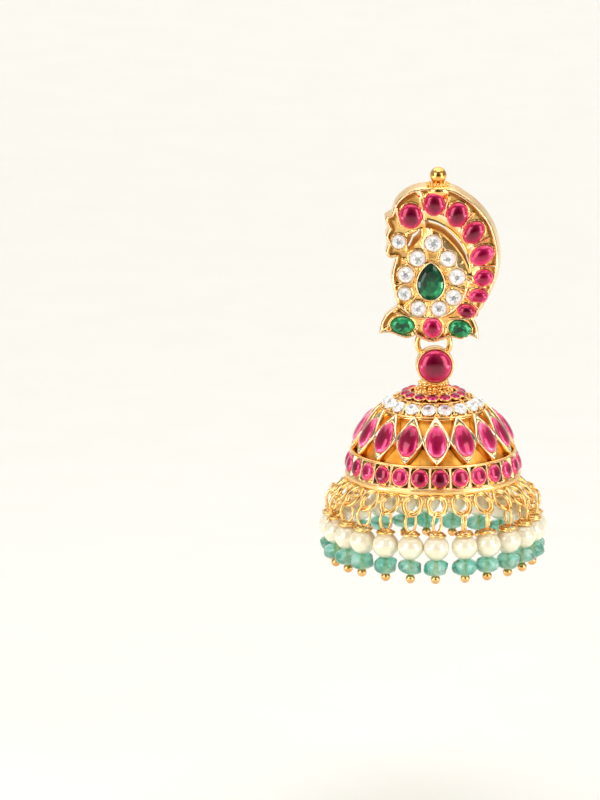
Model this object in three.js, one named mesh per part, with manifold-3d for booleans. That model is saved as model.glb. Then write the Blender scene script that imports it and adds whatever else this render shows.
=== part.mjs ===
// Jhumka earring: a stud with a crescent, a link ring, a dome and a fringe of bead drops.
// Millimetres, +Z up, front facing -Y, origin on the ear post's axis at the stud's back face.
import * as THREE from 'three';
import { mergeVertices } from 'three/addons/utils/BufferGeometryUtils.js';
import Module from 'manifold-3d';

const wasm = await Module();
wasm.setup();
const DEG = Math.PI / 180;

// Stud. Its face is laid out in shares of the stud's height.
const STUD_HEIGHT = 24;
const STUD_DEPTH = 2.6;
const STUD_DRAFT = 1.035;
const RIM_WIDTH = 0.5;
const RIM_RISE = 0.4;
const FOOT_PLATE = 1.1;
const FOOT_RECESS_SHARE = -0.292;
const COLLET_WALL = 0.3;
const COLLET_RISE = 0.25;
const SEAT_DEPTH = 0.35;
const STONE_CLEARANCE = 0.06;
const STONE_CROWN = 0.8;
const GIRDLE_DEPTH = 0.1;
const WHITE_RISE = 0.75;
const WHITE_GIRDLE = 0.15;
const FINIAL_BALL = 1.3;
const FINIAL_COLLAR = 2.0;
const FINIAL_COLLAR_HEIGHT = 0.7;
const FINIAL_BASE = 0.8;
const FINIAL_X_SHARE = 0.0438;
const FINIAL_Z_SHARE = 0.539;

// Ear post, seated in a socket of the stud's back.
const POST_DIAMETER = 0.9;
const POST_LENGTH = 10.5;
const POST_FOOT = 2.4;
const POST_FOOT_THICKNESS = 0.35;
const POST_CLEARANCE = 0.1;

// Link ring between the stud and the drop, and the two soldered loops that it passes through.
const RING_OUTER = 5.85;
const RING_WIRE = 0.9;
const RING_PLANE_Y = -0.7;
const RING_X = 0.45;
const LOOP_WIRE = 0.6;
const LINK_CLEARANCE = 0.3;
const RING_TOP_SHARE = -0.375;

// Drop: bezel, neck and dome, turned a little about the dome's own axis.
const DROP_TURN = 6;
const BEZEL_OUTER = 5.76;
const BEZEL_DEPTH = 2.2;
const BEZEL_WALL = 0.34;
const BEZEL_BELOW_RING = 0.45;
const BEZEL_GAP = 0.55;
const BEZEL_SEAT = 0.9;
const BEZEL_CROWN = 1.5;
const CONNECTOR_HEIGHT_SHARE = 0.94;
const NECK_RADIUS = 1.2;
const COLLAR_RADIUS = 2.44;
const COLLAR_BELOW_BEZEL = 0.05;
const COLLAR_HEIGHT = 1.0;

// Dome. Its outside is an ellipse of revolution above a tapered rim band and a flange.
// Heights of the rim, flange and lozenge band are above the ellipse's centre.
const DOME_RADIUS = 13.1;
const DOME_RISE = 14.0;
const DOME_DROP = 15.17;
const DOME_WALL = 1.1;
const DOME_TOP_RADIUS = 3.4;
const RIM_PROUD = 0.2;
const RIM_TAPER = 0.7;
const RIM_TOP = 4.35;
const RIM_BOTTOM = 1.0;
const FLANGE_TAPER = 0.2;
const FLANGE_BOTTOM = -0.25;

// Band of lozenge settings with three-sided recesses between them.
const LOZENGE_COUNT = 16;
const LOZENGE_PHASE = -2.2;
const BAND_TOP = 11.0;
const BAND_WAIST = 7.9;
const BAND_BOTTOM = 4.8;
const LOZENGE_RISE = 0.35;
const RECESS_SHARE = 0.8;
const RECESS_DEPTH = 0.7;
const LOZENGE_RUBY_WIDTH = 3.0;
const LOZENGE_RUBY_LENGTH = 4.8;
const LOZENGE_RUBY_CROWN = 0.45;

// Wire loops under the flange and the drops that hang from them.
const DROP_COUNT = 24;
const DROP_PHASE = -2.3;
const HANGER_WIDTH = 3.4;
const HANGER_STRETCH = 1.3;
const HANGER_WIRE = 0.56;
const HANGER_TILT = 45;
const HANGER_EMBED = 0.16;
const EYE_WIDTH = 2.3;
const EYE_HEIGHT = 3.7;
const EYE_WIRE = 0.46;
const EYE_TURN = 35;
const EYE_CLEARANCE = 0.12;
const CAP_RADIUS = 1.3;
const CAP_THICKNESS = 0.42;
const PEARL_DIAMETER = 4.0;
const BEAD_DIAMETER = 3.8;
const BEAD_HEIGHT = 2.4;
const BALL_DIAMETER = 1.45;
const BEAD_OVERLAP = 0.12;

// Facets of round pieces.
const LINK_SIDES = 10;
const WIRE_SIDES = 5;
const BEAD_SIDES = 10;
const STONE_SIDES = 8;
const DOME_SIDES = LOZENGE_COUNT;

// How far a cutter runs past what it cuts.
const CUT_REACH = 1;

// Heights that follow from the sizes above.
const RING_MEAN = (RING_OUTER - RING_WIRE) / 2;
const RING_TOP_Z = RING_TOP_SHARE * STUD_HEIGHT;
const RING_CENTRE_Z = RING_TOP_Z - RING_MEAN;
const RING_BOTTOM_Z = RING_CENTRE_Z - RING_MEAN;
const BEZEL_Z = RING_BOTTOM_Z - BEZEL_BELOW_RING;
const COLLAR_TOP_Z = BEZEL_Z - BEZEL_OUTER / 2 - COLLAR_BELOW_BEZEL;
const DOME_CENTRE_Z = COLLAR_TOP_Z - DOME_DROP;
const RIM_RADIUS = DOME_RADIUS + RIM_PROUD;
const RIM_TOP_Z = DOME_CENTRE_Z + RIM_TOP;
const RIM_BOTTOM_Z = DOME_CENTRE_Z + RIM_BOTTOM;
const FLANGE_RADIUS = RIM_RADIUS - FLANGE_TAPER;
const FLANGE_Z = DOME_CENTRE_Z + FLANGE_BOTTOM;
const BAND_TOP_Z = DOME_CENTRE_Z + BAND_TOP;
const BAND_WAIST_Z = DOME_CENTRE_Z + BAND_WAIST;
const BAND_BOTTOM_Z = DOME_CENTRE_Z + BAND_BOTTOM;

const GOLD = new THREE.Color(0.86, 0.62, 0.25);
const RUBY = new THREE.Color(0.72, 0.04, 0.24);
const EMERALD = new THREE.Color(0.03, 0.36, 0.2);
const PEARL = new THREE.Color(0.93, 0.88, 0.78);

// The stud's outline, clockwise from the finial, as stretches that meet at its corners.
// Each row is [x, z] as a share of STUD_HEIGHT.
const STUD_STRETCHES = {
  brow: [[-0.040, 0.543], [-0.106, 0.530], [-0.172, 0.494], [-0.222, 0.441], [-0.248, 0.371]],
  crest: [[-0.248, 0.371], [-0.290, 0.338], [-0.267, 0.273]],
  head: [[-0.267, 0.273], [-0.286, 0.224], [-0.271, 0.175]],
  beak: [[-0.271, 0.175], [-0.286, 0.118], [-0.263, 0.089], [-0.222, 0.089]],
  flank: [[-0.222, 0.089], [-0.249, -0.026], [-0.238, -0.120], [-0.210, -0.226]],
  leftLeaf: [[-0.210, -0.226], [-0.267, -0.263], [-0.308, -0.320], [-0.327, -0.404]],
  leftFoot: [[-0.327, -0.404], [-0.259, -0.398], [-0.160, -0.431], [-0.095, -0.414]],
  petal: [[-0.095, -0.414], [-0.040, -0.443], [0.015, -0.457], [0.070, -0.443], [0.136, -0.423]],
  rightLeaf: [[0.136, -0.423], [0.197, -0.435], [0.255, -0.414], [0.304, -0.435]],
  rightHeel: [[0.304, -0.435], [0.300, -0.365], [0.275, -0.304]],
  crescent: [[0.275, -0.304], [0.349, -0.189], [0.413, -0.038], [0.427, 0.122], [0.386, 0.293],
    [0.292, 0.424], [0.177, 0.510], [0.123, 0.535]],
};

// The two pierced gaps beside the neck bar, in the same shares.
const STUD_GAPS = {
  crescentGap: {
    outer: [[-0.040, 0.340], [0.029, 0.324], [0.107, 0.281], [0.181, 0.208], [0.230, 0.115], [0.249, 0.003]],
    inner: [[0.249, 0.003], [0.203, 0.105], [0.132, 0.195], [0.051, 0.264], [-0.035, 0.287]],
  },
  headGap: {
    outer: [[-0.152, 0.238], [-0.101, 0.263], [-0.060, 0.279]],
    inner: [[-0.060, 0.279], [-0.062, 0.224], [-0.107, 0.171], [-0.152, 0.136]],
  },
};

// Stones of the stud's face: centre, axes as shares of STUD_HEIGHT, and the long axis's turn.
const CRESCENT_RUBIES = [
  { x: -0.129, z: 0.360, long: 0.160, short: 0.143, turn: 90 },
  { x: 0.021, z: 0.439, long: 0.150, short: 0.134, turn: 95 },
  { x: 0.168, z: 0.372, long: 0.160, short: 0.132, turn: 75 },
  { x: 0.272, z: 0.258, long: 0.160, short: 0.121, turn: 50 },
  { x: 0.325, z: 0.111, long: 0.162, short: 0.117, turn: 32 },
  { x: 0.336, z: -0.034, long: 0.123, short: 0.107, turn: 15 },
  { x: 0.305, z: -0.152, long: 0.123, short: 0.088, turn: -5 },
  { x: 0.229, z: -0.252, long: 0.115, short: 0.086, turn: -10 },
];
const WHITE_STONES = [
  { x: 0.015, z: 0.185, size: 0.113 },
  { x: -0.085, z: 0.086, size: 0.107 },
  { x: 0.110, z: 0.086, size: 0.107 },
  { x: -0.159, z: -0.019, size: 0.107 },
  { x: 0.168, z: -0.032, size: 0.109 },
  { x: -0.166, z: -0.144, size: 0.092 },
  { x: 0.147, z: -0.165, size: 0.107 },
  { x: -0.078, z: -0.240, size: 0.102 },
  { x: 0.054, z: -0.240, size: 0.102 },
  { x: -0.205, z: 0.193, size: 0.094 },
];
const FOOT_STONES = [
  { name: 'leaf_emerald_left', x: -0.178, z: -0.349, long: 0.150, short: 0.107, turn: -5, color: EMERALD },
  { name: 'leaf_emerald_right', x: 0.188, z: -0.369, long: 0.143, short: 0.109, turn: -12, color: EMERALD },
  { name: 'base_ruby', x: 0.013, z: -0.364, long: 0.127, short: 0.119, turn: 90, color: RUBY },
];
const PEAR_EMERALD = { x: 0, z: -0.062, width: 0.162, height: 0.228 };

// Turns a closed geometry into a solid.
function solid(geometry) {
  const bare = geometry.clone();
  bare.deleteAttribute('normal');
  bare.deleteAttribute('uv');
  const merged = mergeVertices(bare, 1e-4);
  return new wasm.Manifold(new wasm.Mesh({
    numProp: 3,
    vertProperties: new Float32Array(merged.attributes.position.array),
    triVerts: new Uint32Array(merged.index.array),
  }));
}

// Turns a solid back into a geometry.
function toGeometry(body) {
  const mesh = body.getMesh();
  const geometry = new THREE.BufferGeometry();
  geometry.setAttribute('position', new THREE.Float32BufferAttribute(mesh.vertProperties, 3));
  geometry.setIndex(new THREE.Uint32BufferAttribute(mesh.triVerts, 1));
  return geometry;
}

function join(geometries) {
  return geometries.map(solid).reduce((sum, part) => sum.add(part));
}

function cut(body, geometries) {
  return geometries.map(solid).reduce((rest, part) => rest.subtract(part), body);
}

// A solid through one outline (Vector2 list, counter-clockwise seen from the front) at several
// depths: each level holds its y and the outline's scale there, from back to front.
function loft(outline, levels) {
  const count = outline.length;
  const positions = [];
  for (const { y, scale } of levels) {
    for (const point of outline) positions.push(point.x * scale, y, point.y * scale);
  }
  const index = [];
  const cap = THREE.ShapeUtils.triangulateShape(outline, []);
  for (const [a, b, c] of cap) index.push(a, c, b);
  for (let level = 0; level + 1 < levels.length; level += 1) {
    const back = level * count;
    const front = back + count;
    for (let i = 0; i < count; i += 1) {
      const j = (i + 1) % count;
      index.push(back + i, back + j, front + j, back + i, front + j, front + i);
    }
  }
  const last = (levels.length - 1) * count;
  for (const [a, b, c] of cap) index.push(last + a, last + b, last + c);
  const geometry = new THREE.BufferGeometry();
  geometry.setAttribute('position', new THREE.Float32BufferAttribute(positions, 3));
  geometry.setIndex(index);
  return geometry;
}

function ellipse(width, height, sides, start = 0.5) {
  return Array.from({ length: sides }, (_, i) => {
    const t = 2 * Math.PI * (i + start) / sides;
    return new THREE.Vector2(width / 2 * Math.cos(t), height / 2 * Math.sin(t));
  });
}

// A pear outline with its point up.
function pear(width, height, sides) {
  const widest = 0.86;
  return Array.from({ length: sides }, (_, i) => {
    const t = 2 * Math.PI * i / sides;
    const side = Math.sin(t) * Math.sqrt(Math.abs(Math.sin(t / 2)));
    return new THREE.Vector2(-width / 2 / widest * side, height / 2 * Math.cos(t));
  });
}

// A lathe about Z from [radius, z] rows that close on the axis or on themselves.
function lathe(rows, sides, phase = 0) {
  const profile = rows.map(([radius, z]) => new THREE.Vector2(radius, z));
  if (THREE.ShapeUtils.isClockWise(profile)) profile.reverse();
  return new THREE.LatheGeometry(profile, sides, phase).rotateX(Math.PI / 2);
}

// A wire ring in the XZ plane.
function ring(meanRadius, wireRadius) {
  return new THREE.TorusGeometry(meanRadius, wireRadius, WIRE_SIDES, LINK_SIDES).rotateX(Math.PI / 2);
}

// Turns a piece that was made at the front of the dome to its place round the axis.
function around(geometry, count, phase, i) {
  return geometry.clone().rotateZ((phase + 360 * i / count) * DEG);
}

function named(name, geometry, color, roughness, metalness) {
  const material = new THREE.MeshStandardMaterial({ color, roughness, metalness });
  const mesh = new THREE.Mesh(geometry, material);
  mesh.name = name;
  return mesh;
}

const gold = (name, body) => named(name, toGeometry(body), GOLD, 0.3, 1);
const gem = (name, geometry, color) => named(name, geometry, color, 0.08, 0);

// A closed outline from its stretches, each a smooth curve, scaled to the stud.
function studOutline(stretches) {
  const points = [];
  for (const rows of stretches) {
    const curve = new THREE.SplineCurve(rows.map(([x, z]) => new THREE.Vector2(x, z)));
    const steps = rows.length - 1;
    for (let i = 0; i < steps; i += 1) points.push(curve.getPoint(i / steps).multiplyScalar(STUD_HEIGHT));
  }
  const last = stretches[stretches.length - 1];
  const end = new THREE.Vector2(...last[last.length - 1]).multiplyScalar(STUD_HEIGHT);
  if (end.distanceTo(points[0]) > 1e-6) points.push(end);
  return THREE.ShapeUtils.isClockWise(points) ? points.reverse() : points;
}

// The outline moved inwards by a distance, along the bisector of its two neighbours.
function inset(outline, distance) {
  return outline.map((point, i) => {
    const before = outline[(i + outline.length - 1) % outline.length];
    const after = outline[(i + 1) % outline.length];
    const along = after.clone().sub(before).normalize();
    return new THREE.Vector2(point.x - along.y * distance, point.y + along.x * distance);
  });
}

function placed(geometry, x, z, turn = 0) {
  return geometry.rotateY(-turn * DEG).translate(x, 0, z);
}

const STUD_FACE_Y = -STUD_DEPTH;
const FIELD_Y = STUD_FACE_Y + RIM_RISE;
const SEAT_Y = FIELD_Y + SEAT_DEPTH;
const COLLET_Y = STUD_FACE_Y - COLLET_RISE;

// Stone, collet and pocket of one outline maker: (extra) gives the outline grown all round.
function setting(outline, x, z, turn) {
  const crown = STONE_CROWN + SEAT_DEPTH + RIM_RISE;
  const stone = loft(outline(0), [
    { y: SEAT_Y - STONE_CLEARANCE, scale: 0.9 },
    { y: COLLET_Y + GIRDLE_DEPTH, scale: 1 },
    { y: SEAT_Y - crown, scale: 0.6 },
  ]);
  const collet = loft(outline(2 * (COLLET_WALL + STONE_CLEARANCE)), [
    { y: SEAT_Y, scale: 1 },
    { y: COLLET_Y, scale: 0.97 },
  ]);
  const pocket = loft(outline(2 * STONE_CLEARANCE), [
    { y: SEAT_Y, scale: 1 },
    { y: COLLET_Y - CUT_REACH, scale: 1 },
  ]);
  return {
    stone: placed(stone, x, z, turn),
    collet: placed(collet, x, z, turn),
    pocket: placed(pocket, x, z, turn),
  };
}

// A round collet with its stone in one piece, standing on the face's field.
function colletStone(size) {
  return loft(ellipse(size, size, STONE_SIDES), [
    { y: FIELD_Y + SEAT_DEPTH / 2, scale: 1.15 },
    { y: STUD_FACE_Y - WHITE_GIRDLE, scale: 1.1 },
    { y: STUD_FACE_Y - WHITE_RISE, scale: 0.55 },
  ]);
}

function ovalSetting({ x, z, long, short, turn }, sides) {
  const outline = (extra) => ellipse(long * STUD_HEIGHT + extra, short * STUD_HEIGHT + extra, sides);
  return setting(outline, x * STUD_HEIGHT, z * STUD_HEIGHT, turn);
}

const LOOP_MEAN = RING_WIRE / 2 + LINK_CLEARANCE + LOOP_WIRE / 2;

// A soldered loop in the YZ plane round a point of the link ring's wire.
function linkLoop(x, y, z) {
  return ring(LOOP_MEAN, LOOP_WIRE / 2).rotateZ(Math.PI / 2).translate(x, y, z);
}

function makeStud() {
  const group = new THREE.Group();
  const outline = studOutline(Object.values(STUD_STRETCHES));
  const blank = loft(outline, [
    { y: 0, scale: STUD_DRAFT },
    { y: STUD_FACE_Y, scale: 1 },
  ]);
  const field = loft(inset(outline, RIM_WIDTH), [
    { y: FIELD_Y, scale: 1 },
    { y: STUD_FACE_Y - CUT_REACH, scale: 1 },
  ]);
  const gaps = Object.values(STUD_GAPS).map(({ outer, inner }) => loft(studOutline([outer, inner]), [
    { y: CUT_REACH, scale: 1 },
    { y: STUD_FACE_Y - CUT_REACH, scale: 1 },
  ]));
  const footBack = new THREE.BoxGeometry(STUD_HEIGHT, 2 * (STUD_DEPTH - FOOT_PLATE), STUD_HEIGHT / 2)
    .translate(0, 0, (FOOT_RECESS_SHARE - 0.25) * STUD_HEIGHT);
  const socket = lathe([[0, -CUT_REACH], [POST_FOOT / 2 + POST_CLEARANCE, -CUT_REACH],
    [POST_FOOT / 2 + POST_CLEARANCE, POST_FOOT_THICKNESS + POST_CLEARANCE],
    [0, POST_FOOT_THICKNESS + POST_CLEARANCE]], 16).rotateX(Math.PI / 2);

  const rubies = CRESCENT_RUBIES.map((row) => ovalSetting(row, STONE_SIDES));
  const foot = FOOT_STONES.map((row) => ovalSetting(row, STONE_SIDES));
  const whites = WHITE_STONES.map(({ x, z, size }) => placed(colletStone(size * STUD_HEIGHT),
    x * STUD_HEIGHT, z * STUD_HEIGHT));
  const emeraldOutline = (extra) => pear(PEAR_EMERALD.width * STUD_HEIGHT + extra,
    PEAR_EMERALD.height * STUD_HEIGHT + 1.6 * extra, 14);
  const emerald = setting(emeraldOutline, PEAR_EMERALD.x * STUD_HEIGHT, PEAR_EMERALD.z * STUD_HEIGHT, 0);
  const seated = [...rubies, ...foot, emerald];

  const finialAt = [FINIAL_X_SHARE * STUD_HEIGHT, STUD_FACE_Y / 2, FINIAL_Z_SHARE * STUD_HEIGHT];
  const finialCollar = lathe([
    [0, -FINIAL_BASE],
    [FINIAL_COLLAR * 0.6, -FINIAL_BASE],
    [FINIAL_COLLAR, FINIAL_COLLAR_HEIGHT * 0.1],
    [FINIAL_COLLAR, FINIAL_COLLAR_HEIGHT * 0.6],
    [FINIAL_BALL * 0.6, FINIAL_COLLAR_HEIGHT],
    [0, FINIAL_COLLAR_HEIGHT],
  ], 10).scale(1, 0.75, 1).translate(...finialAt);
  const finialBall = new THREE.SphereGeometry(FINIAL_BALL, 10, 6).rotateX(Math.PI / 2)
    .translate(0, 0, FINIAL_COLLAR_HEIGHT + 0.85 * FINIAL_BALL).translate(...finialAt);

  let body = cut(solid(blank), [field]);
  body = body.add(join([...seated.map(({ collet }) => collet), ...whites, finialCollar, finialBall]));
  body = cut(body, [...gaps, footBack, socket]);
  body = body.add(solid(linkLoop(RING_X, RING_PLANE_Y, RING_TOP_Z)));
  body = cut(body, seated.map(({ pocket }) => pocket));
  group.add(gold('stud_body', body));
  rubies.forEach(({ stone }, i) => group.add(gem(`crescent_ruby_${i + 1}`, stone, RUBY)));
  group.add(gem('pear_emerald', emerald.stone, EMERALD));
  foot.forEach(({ stone }, i) => group.add(gem(FOOT_STONES[i].name, stone, FOOT_STONES[i].color)));
  return group;
}

// The straight post with its foot disc, in the socket of the stud's back.
function makePost() {
  const rows = [
    [0, -POST_LENGTH],
    [POST_DIAMETER * 0.3, -POST_LENGTH],
    [POST_DIAMETER / 2, POST_DIAMETER / 2 - POST_LENGTH],
    [POST_DIAMETER / 2, 0],
    [POST_FOOT / 2, 0],
    [POST_FOOT / 2, POST_FOOT_THICKNESS],
    [0, POST_FOOT_THICKNESS],
  ];
  return gold('ear_post', solid(lathe(rows, 12).rotateX(Math.PI / 2)));
}

function makeLinkRing() {
  const wire = ring(RING_MEAN, RING_WIRE / 2).translate(RING_X, RING_PLANE_Y, RING_CENTRE_Z);
  return gold('link_ring', solid(wire));
}

// The dome's outer radius, height and outward slope at an angle above the rim.
function domeAt(angle) {
  return {
    radius: DOME_RADIUS * Math.cos(angle),
    z: DOME_CENTRE_Z + DOME_RISE * Math.sin(angle),
    slope: Math.atan2(DOME_RADIUS * Math.sin(angle), DOME_RISE * Math.cos(angle)),
  };
}

const domeAngle = (z) => Math.asin((z - DOME_CENTRE_Z) / DOME_RISE);

// A point that stands proud of the dome at a height and an angle round the axis.
function domePoint(turn, z, lift) {
  const { radius, slope } = domeAt(domeAngle(z));
  const reach = radius + lift * Math.cos(slope);
  return new THREE.Vector3(reach * Math.sin(turn), -reach * Math.cos(turn), z + lift * Math.sin(slope));
}

// Seats a front-facing piece, made round the origin, on the dome at a height.
function onDome(geometry, z, lift = 0) {
  const { slope } = domeAt(domeAngle(z));
  const seat = domePoint(0, z, lift);
  return geometry.rotateX(-slope).translate(seat.x, seat.y, seat.z);
}

// A three-sided cutter for a recess in the dome's wall, from its floor to outside the dome.
function recess(corners) {
  const centre = corners.reduce((sum, [turn, z]) => [sum[0] + turn / 3, sum[1] + z / 3], [0, 0]);
  const shrunk = corners.map(([turn, z]) => [
    centre[0] + (turn - centre[0]) * RECESS_SHARE,
    centre[1] + (z - centre[1]) * RECESS_SHARE,
  ]);
  const outside = shrunk.map(([turn, z]) => domePoint(turn * DEG, z, CUT_REACH));
  const inside = shrunk.map(([turn, z]) => domePoint(turn * DEG, z, -RECESS_DEPTH));
  const geometry = new THREE.BufferGeometry().setFromPoints([...inside, ...outside]);
  geometry.setIndex([0, 2, 1, 3, 4, 5, 0, 1, 4, 0, 4, 3, 1, 2, 5, 1, 5, 4, 2, 0, 3, 2, 3, 5]);
  return geometry;
}

// The dome's outside, with a facet centred on each lozenge.
function domeOutside() {
  const top = domeAt(Math.acos(DOME_TOP_RADIUS / DOME_RADIUS));
  const rows = [[0, top.z], [DOME_TOP_RADIUS, top.z]];
  for (const z of [(top.z + BAND_TOP_Z) / 2, BAND_TOP_Z, BAND_WAIST_Z, BAND_BOTTOM_Z]) {
    rows.push([domeAt(domeAngle(z)).radius, z]);
  }
  rows.push([RIM_RADIUS - RIM_TAPER, RIM_TOP_Z], [RIM_RADIUS, RIM_BOTTOM_Z]);
  rows.push([FLANGE_RADIUS, FLANGE_Z], [0, FLANGE_Z]);
  return lathe(rows, DOME_SIDES, (LOZENGE_PHASE + 180 / DOME_SIDES) * DEG);
}

// The hollow of the bell, with a facet centred on each recess.
function domeInside() {
  const rows = [[0, FLANGE_Z - CUT_REACH], [FLANGE_RADIUS - DOME_WALL, FLANGE_Z - CUT_REACH]];
  for (const share of [0, 0.28, 0.52, 0.76]) {
    const angle = share * Math.PI / 2;
    rows.push([(DOME_RADIUS - DOME_WALL) * Math.cos(angle),
      DOME_CENTRE_Z + (DOME_RISE - DOME_WALL) * Math.sin(angle)]);
  }
  rows.push([0, DOME_CENTRE_Z + DOME_RISE - DOME_WALL]);
  return lathe(rows, DOME_SIDES, LOZENGE_PHASE * DEG);
}

function bandRecesses() {
  const half = 180 / LOZENGE_COUNT;
  const recesses = [];
  for (let i = 0; i < LOZENGE_COUNT; i += 1) {
    const turn = LOZENGE_PHASE + (2 * i + 1) * half;
    recesses.push(recess([[turn - half, BAND_TOP_Z], [turn, BAND_WAIST_Z], [turn + half, BAND_TOP_Z]]));
    recesses.push(recess([[turn - half, BAND_BOTTOM_Z], [turn + half, BAND_BOTTOM_Z], [turn, BAND_WAIST_Z]]));
  }
  return recesses;
}

// An oval ruby that stands on the lozenge between the recesses.
function lozengeRuby() {
  const ruby = loft(ellipse(LOZENGE_RUBY_WIDTH, LOZENGE_RUBY_LENGTH, STONE_SIDES), [
    { y: DOME_WALL / 2, scale: 1 },
    { y: -LOZENGE_RISE, scale: 1 },
    { y: -LOZENGE_RISE - LOZENGE_RUBY_CROWN, scale: 0.55 },
  ]);
  return onDome(ruby, BAND_WAIST_Z);
}

const BEZEL_BACK_Y = -RING_WIRE / 2 - BEZEL_GAP;
const BEZEL_FRONT_Y = BEZEL_BACK_Y - BEZEL_DEPTH;

function bezelBody() {
  const outer = loft(ellipse(BEZEL_OUTER, BEZEL_OUTER, 16), [
    { y: BEZEL_BACK_Y, scale: 0.97 },
    { y: BEZEL_BACK_Y - BEZEL_WALL, scale: 1 },
    { y: BEZEL_FRONT_Y, scale: 0.98 },
  ]).translate(0, 0, BEZEL_Z);
  const stem = lathe([[0, COLLAR_TOP_Z - COLLAR_HEIGHT / 2], [NECK_RADIUS, COLLAR_TOP_Z - COLLAR_HEIGHT / 2],
    [NECK_RADIUS, BEZEL_Z - BEZEL_OUTER * 0.3], [0, BEZEL_Z - BEZEL_OUTER * 0.3]], 10);
  return [outer, stem, linkLoop(0, 0, RING_BOTTOM_Z)];
}

function neckBody() {
  const domeTop = domeAt(Math.acos(DOME_TOP_RADIUS / DOME_RADIUS)).z;
  return lathe([
    [0, COLLAR_TOP_Z],
    [COLLAR_RADIUS * 0.8, COLLAR_TOP_Z],
    [COLLAR_RADIUS, COLLAR_TOP_Z - 0.3 * COLLAR_HEIGHT],
    [COLLAR_RADIUS, COLLAR_TOP_Z - 0.7 * COLLAR_HEIGHT],
    [NECK_RADIUS * 1.4, COLLAR_TOP_Z - 1.4 * COLLAR_HEIGHT],
    [DOME_TOP_RADIUS * 0.97, domeTop - DOME_WALL / 10],
    [DOME_TOP_RADIUS * 0.97, domeTop - DOME_WALL / 2],
    [0, domeTop - DOME_WALL / 2],
  ], 12);
}

const HANGER_MEAN = (HANGER_WIDTH - HANGER_WIRE) / 2;
const HANGER_REACH = HANGER_MEAN * HANGER_STRETCH;
const HANGER_TOP_R = FLANGE_RADIUS * Math.cos(Math.PI / DOME_SIDES) + HANGER_WIRE / 2 - HANGER_EMBED;
const HANGER_TOP_Z = FLANGE_Z + HANGER_WIRE / 2;
const HANGER_OUT = Math.sin(HANGER_TILT * DEG);
const HANGER_DOWN = Math.cos(HANGER_TILT * DEG);
const DROP_RADIUS = HANGER_TOP_R + 2 * HANGER_REACH * HANGER_OUT;
const HANGER_BOTTOM_Z = HANGER_TOP_Z - 2 * HANGER_REACH * HANGER_DOWN;

// A wire loop that flares out from under the flange.
function hanger() {
  return ring(HANGER_MEAN, HANGER_WIRE / 2).scale(1, 1, HANGER_STRETCH).rotateX(-HANGER_TILT * DEG)
    .translate(0, -HANGER_TOP_R - HANGER_REACH * HANGER_OUT, HANGER_TOP_Z - HANGER_REACH * HANGER_DOWN);
}

function makeDome() {
  const group = new THREE.Group();
  group.position.set(RING_X, RING_PLANE_Y, 0);
  group.rotation.z = DROP_TURN * DEG;

  const rubyAxis = BEZEL_OUTER - 2 * BEZEL_WALL - 2 * STONE_CLEARANCE;
  const connector = (extra) => ellipse(rubyAxis + extra, rubyAxis * CONNECTOR_HEIGHT_SHARE + extra, 12);
  const pocket = loft(connector(2 * STONE_CLEARANCE), [
    { y: BEZEL_FRONT_Y + BEZEL_SEAT, scale: 1 },
    { y: BEZEL_FRONT_Y - CUT_REACH, scale: 1 },
  ]).translate(0, 0, BEZEL_Z);
  const ruby = loft(connector(0), [
    { y: BEZEL_FRONT_Y + BEZEL_SEAT - STONE_CLEARANCE, scale: 0.95 },
    { y: BEZEL_FRONT_Y, scale: 1 },
    { y: BEZEL_FRONT_Y + BEZEL_SEAT - BEZEL_CROWN, scale: 0.6 },
  ]).translate(0, 0, BEZEL_Z);

  let body = cut(solid(domeOutside()), [domeInside(), ...bandRecesses()]);
  const repeats = [];
  for (let i = 0; i < LOZENGE_COUNT; i += 1) {
    repeats.push(around(lozengeRuby(), LOZENGE_COUNT, LOZENGE_PHASE, i));
  }
  for (let i = 0; i < DROP_COUNT; i += 1) repeats.push(around(hanger(), DROP_COUNT, DROP_PHASE, i));
  body = body.add(join([...repeats, neckBody(), ...bezelBody()]));
  body = cut(body, [pocket]);
  group.add(gold('dome', body));
  group.add(gem('connector_ruby', ruby, RUBY));

  for (let i = 0; i < DROP_COUNT; i += 1) group.add(beadDrop(i));
  return group;
}

// One bead drop: wire eye, wound cap, pearl, bead and end ball, fused along their common axis.
function beadDrop(i) {
  const eyeTop = HANGER_BOTTOM_Z + HANGER_WIRE / 2 + EYE_CLEARANCE + EYE_WIRE;
  const capTop = eyeTop - EYE_HEIGHT + EYE_WIRE / 2;
  const pearlZ = capTop - CAP_THICKNESS - PEARL_DIAMETER / 2 + BEAD_OVERLAP;
  const beadZ = pearlZ - PEARL_DIAMETER / 2 - BEAD_HEIGHT / 2 + BEAD_OVERLAP;
  const ballZ = beadZ - BEAD_HEIGHT / 2 - BALL_DIAMETER / 2 + BEAD_OVERLAP;
  const rows = [[0, capTop], [CAP_RADIUS, capTop - CAP_THICKNESS / 2]];
  for (const polar of [40, 90, 140]) {
    const reach = PEARL_DIAMETER / 2;
    rows.push([reach * Math.sin(polar * DEG), pearlZ + reach * Math.cos(polar * DEG)]);
  }
  for (const [radius, height] of [[0.94, 0.7], [0.94, -0.7]]) {
    rows.push([BEAD_DIAMETER / 2 * radius, beadZ + BEAD_HEIGHT / 2 * height]);
  }
  rows.push([BALL_DIAMETER / 2, ballZ]);
  rows.push([0, ballZ - BALL_DIAMETER / 2]);
  const eyeMean = (EYE_HEIGHT - EYE_WIRE) / 2;
  const eye = ring(eyeMean, EYE_WIRE / 2).scale((EYE_WIDTH - EYE_WIRE) / 2 / eyeMean, 1, 1)
    .rotateZ((90 - EYE_TURN) * DEG).translate(0, 0, eyeTop - EYE_HEIGHT / 2);
  const body = join([lathe(rows, BEAD_SIDES), eye].map((piece) => (
    around(piece.translate(0, -DROP_RADIUS, 0), DROP_COUNT, DROP_PHASE, i))));
  return named(`drop_${String(i + 1).padStart(2, '0')}`, toGeometry(body), PEARL, 0.25, 0);
}

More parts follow.
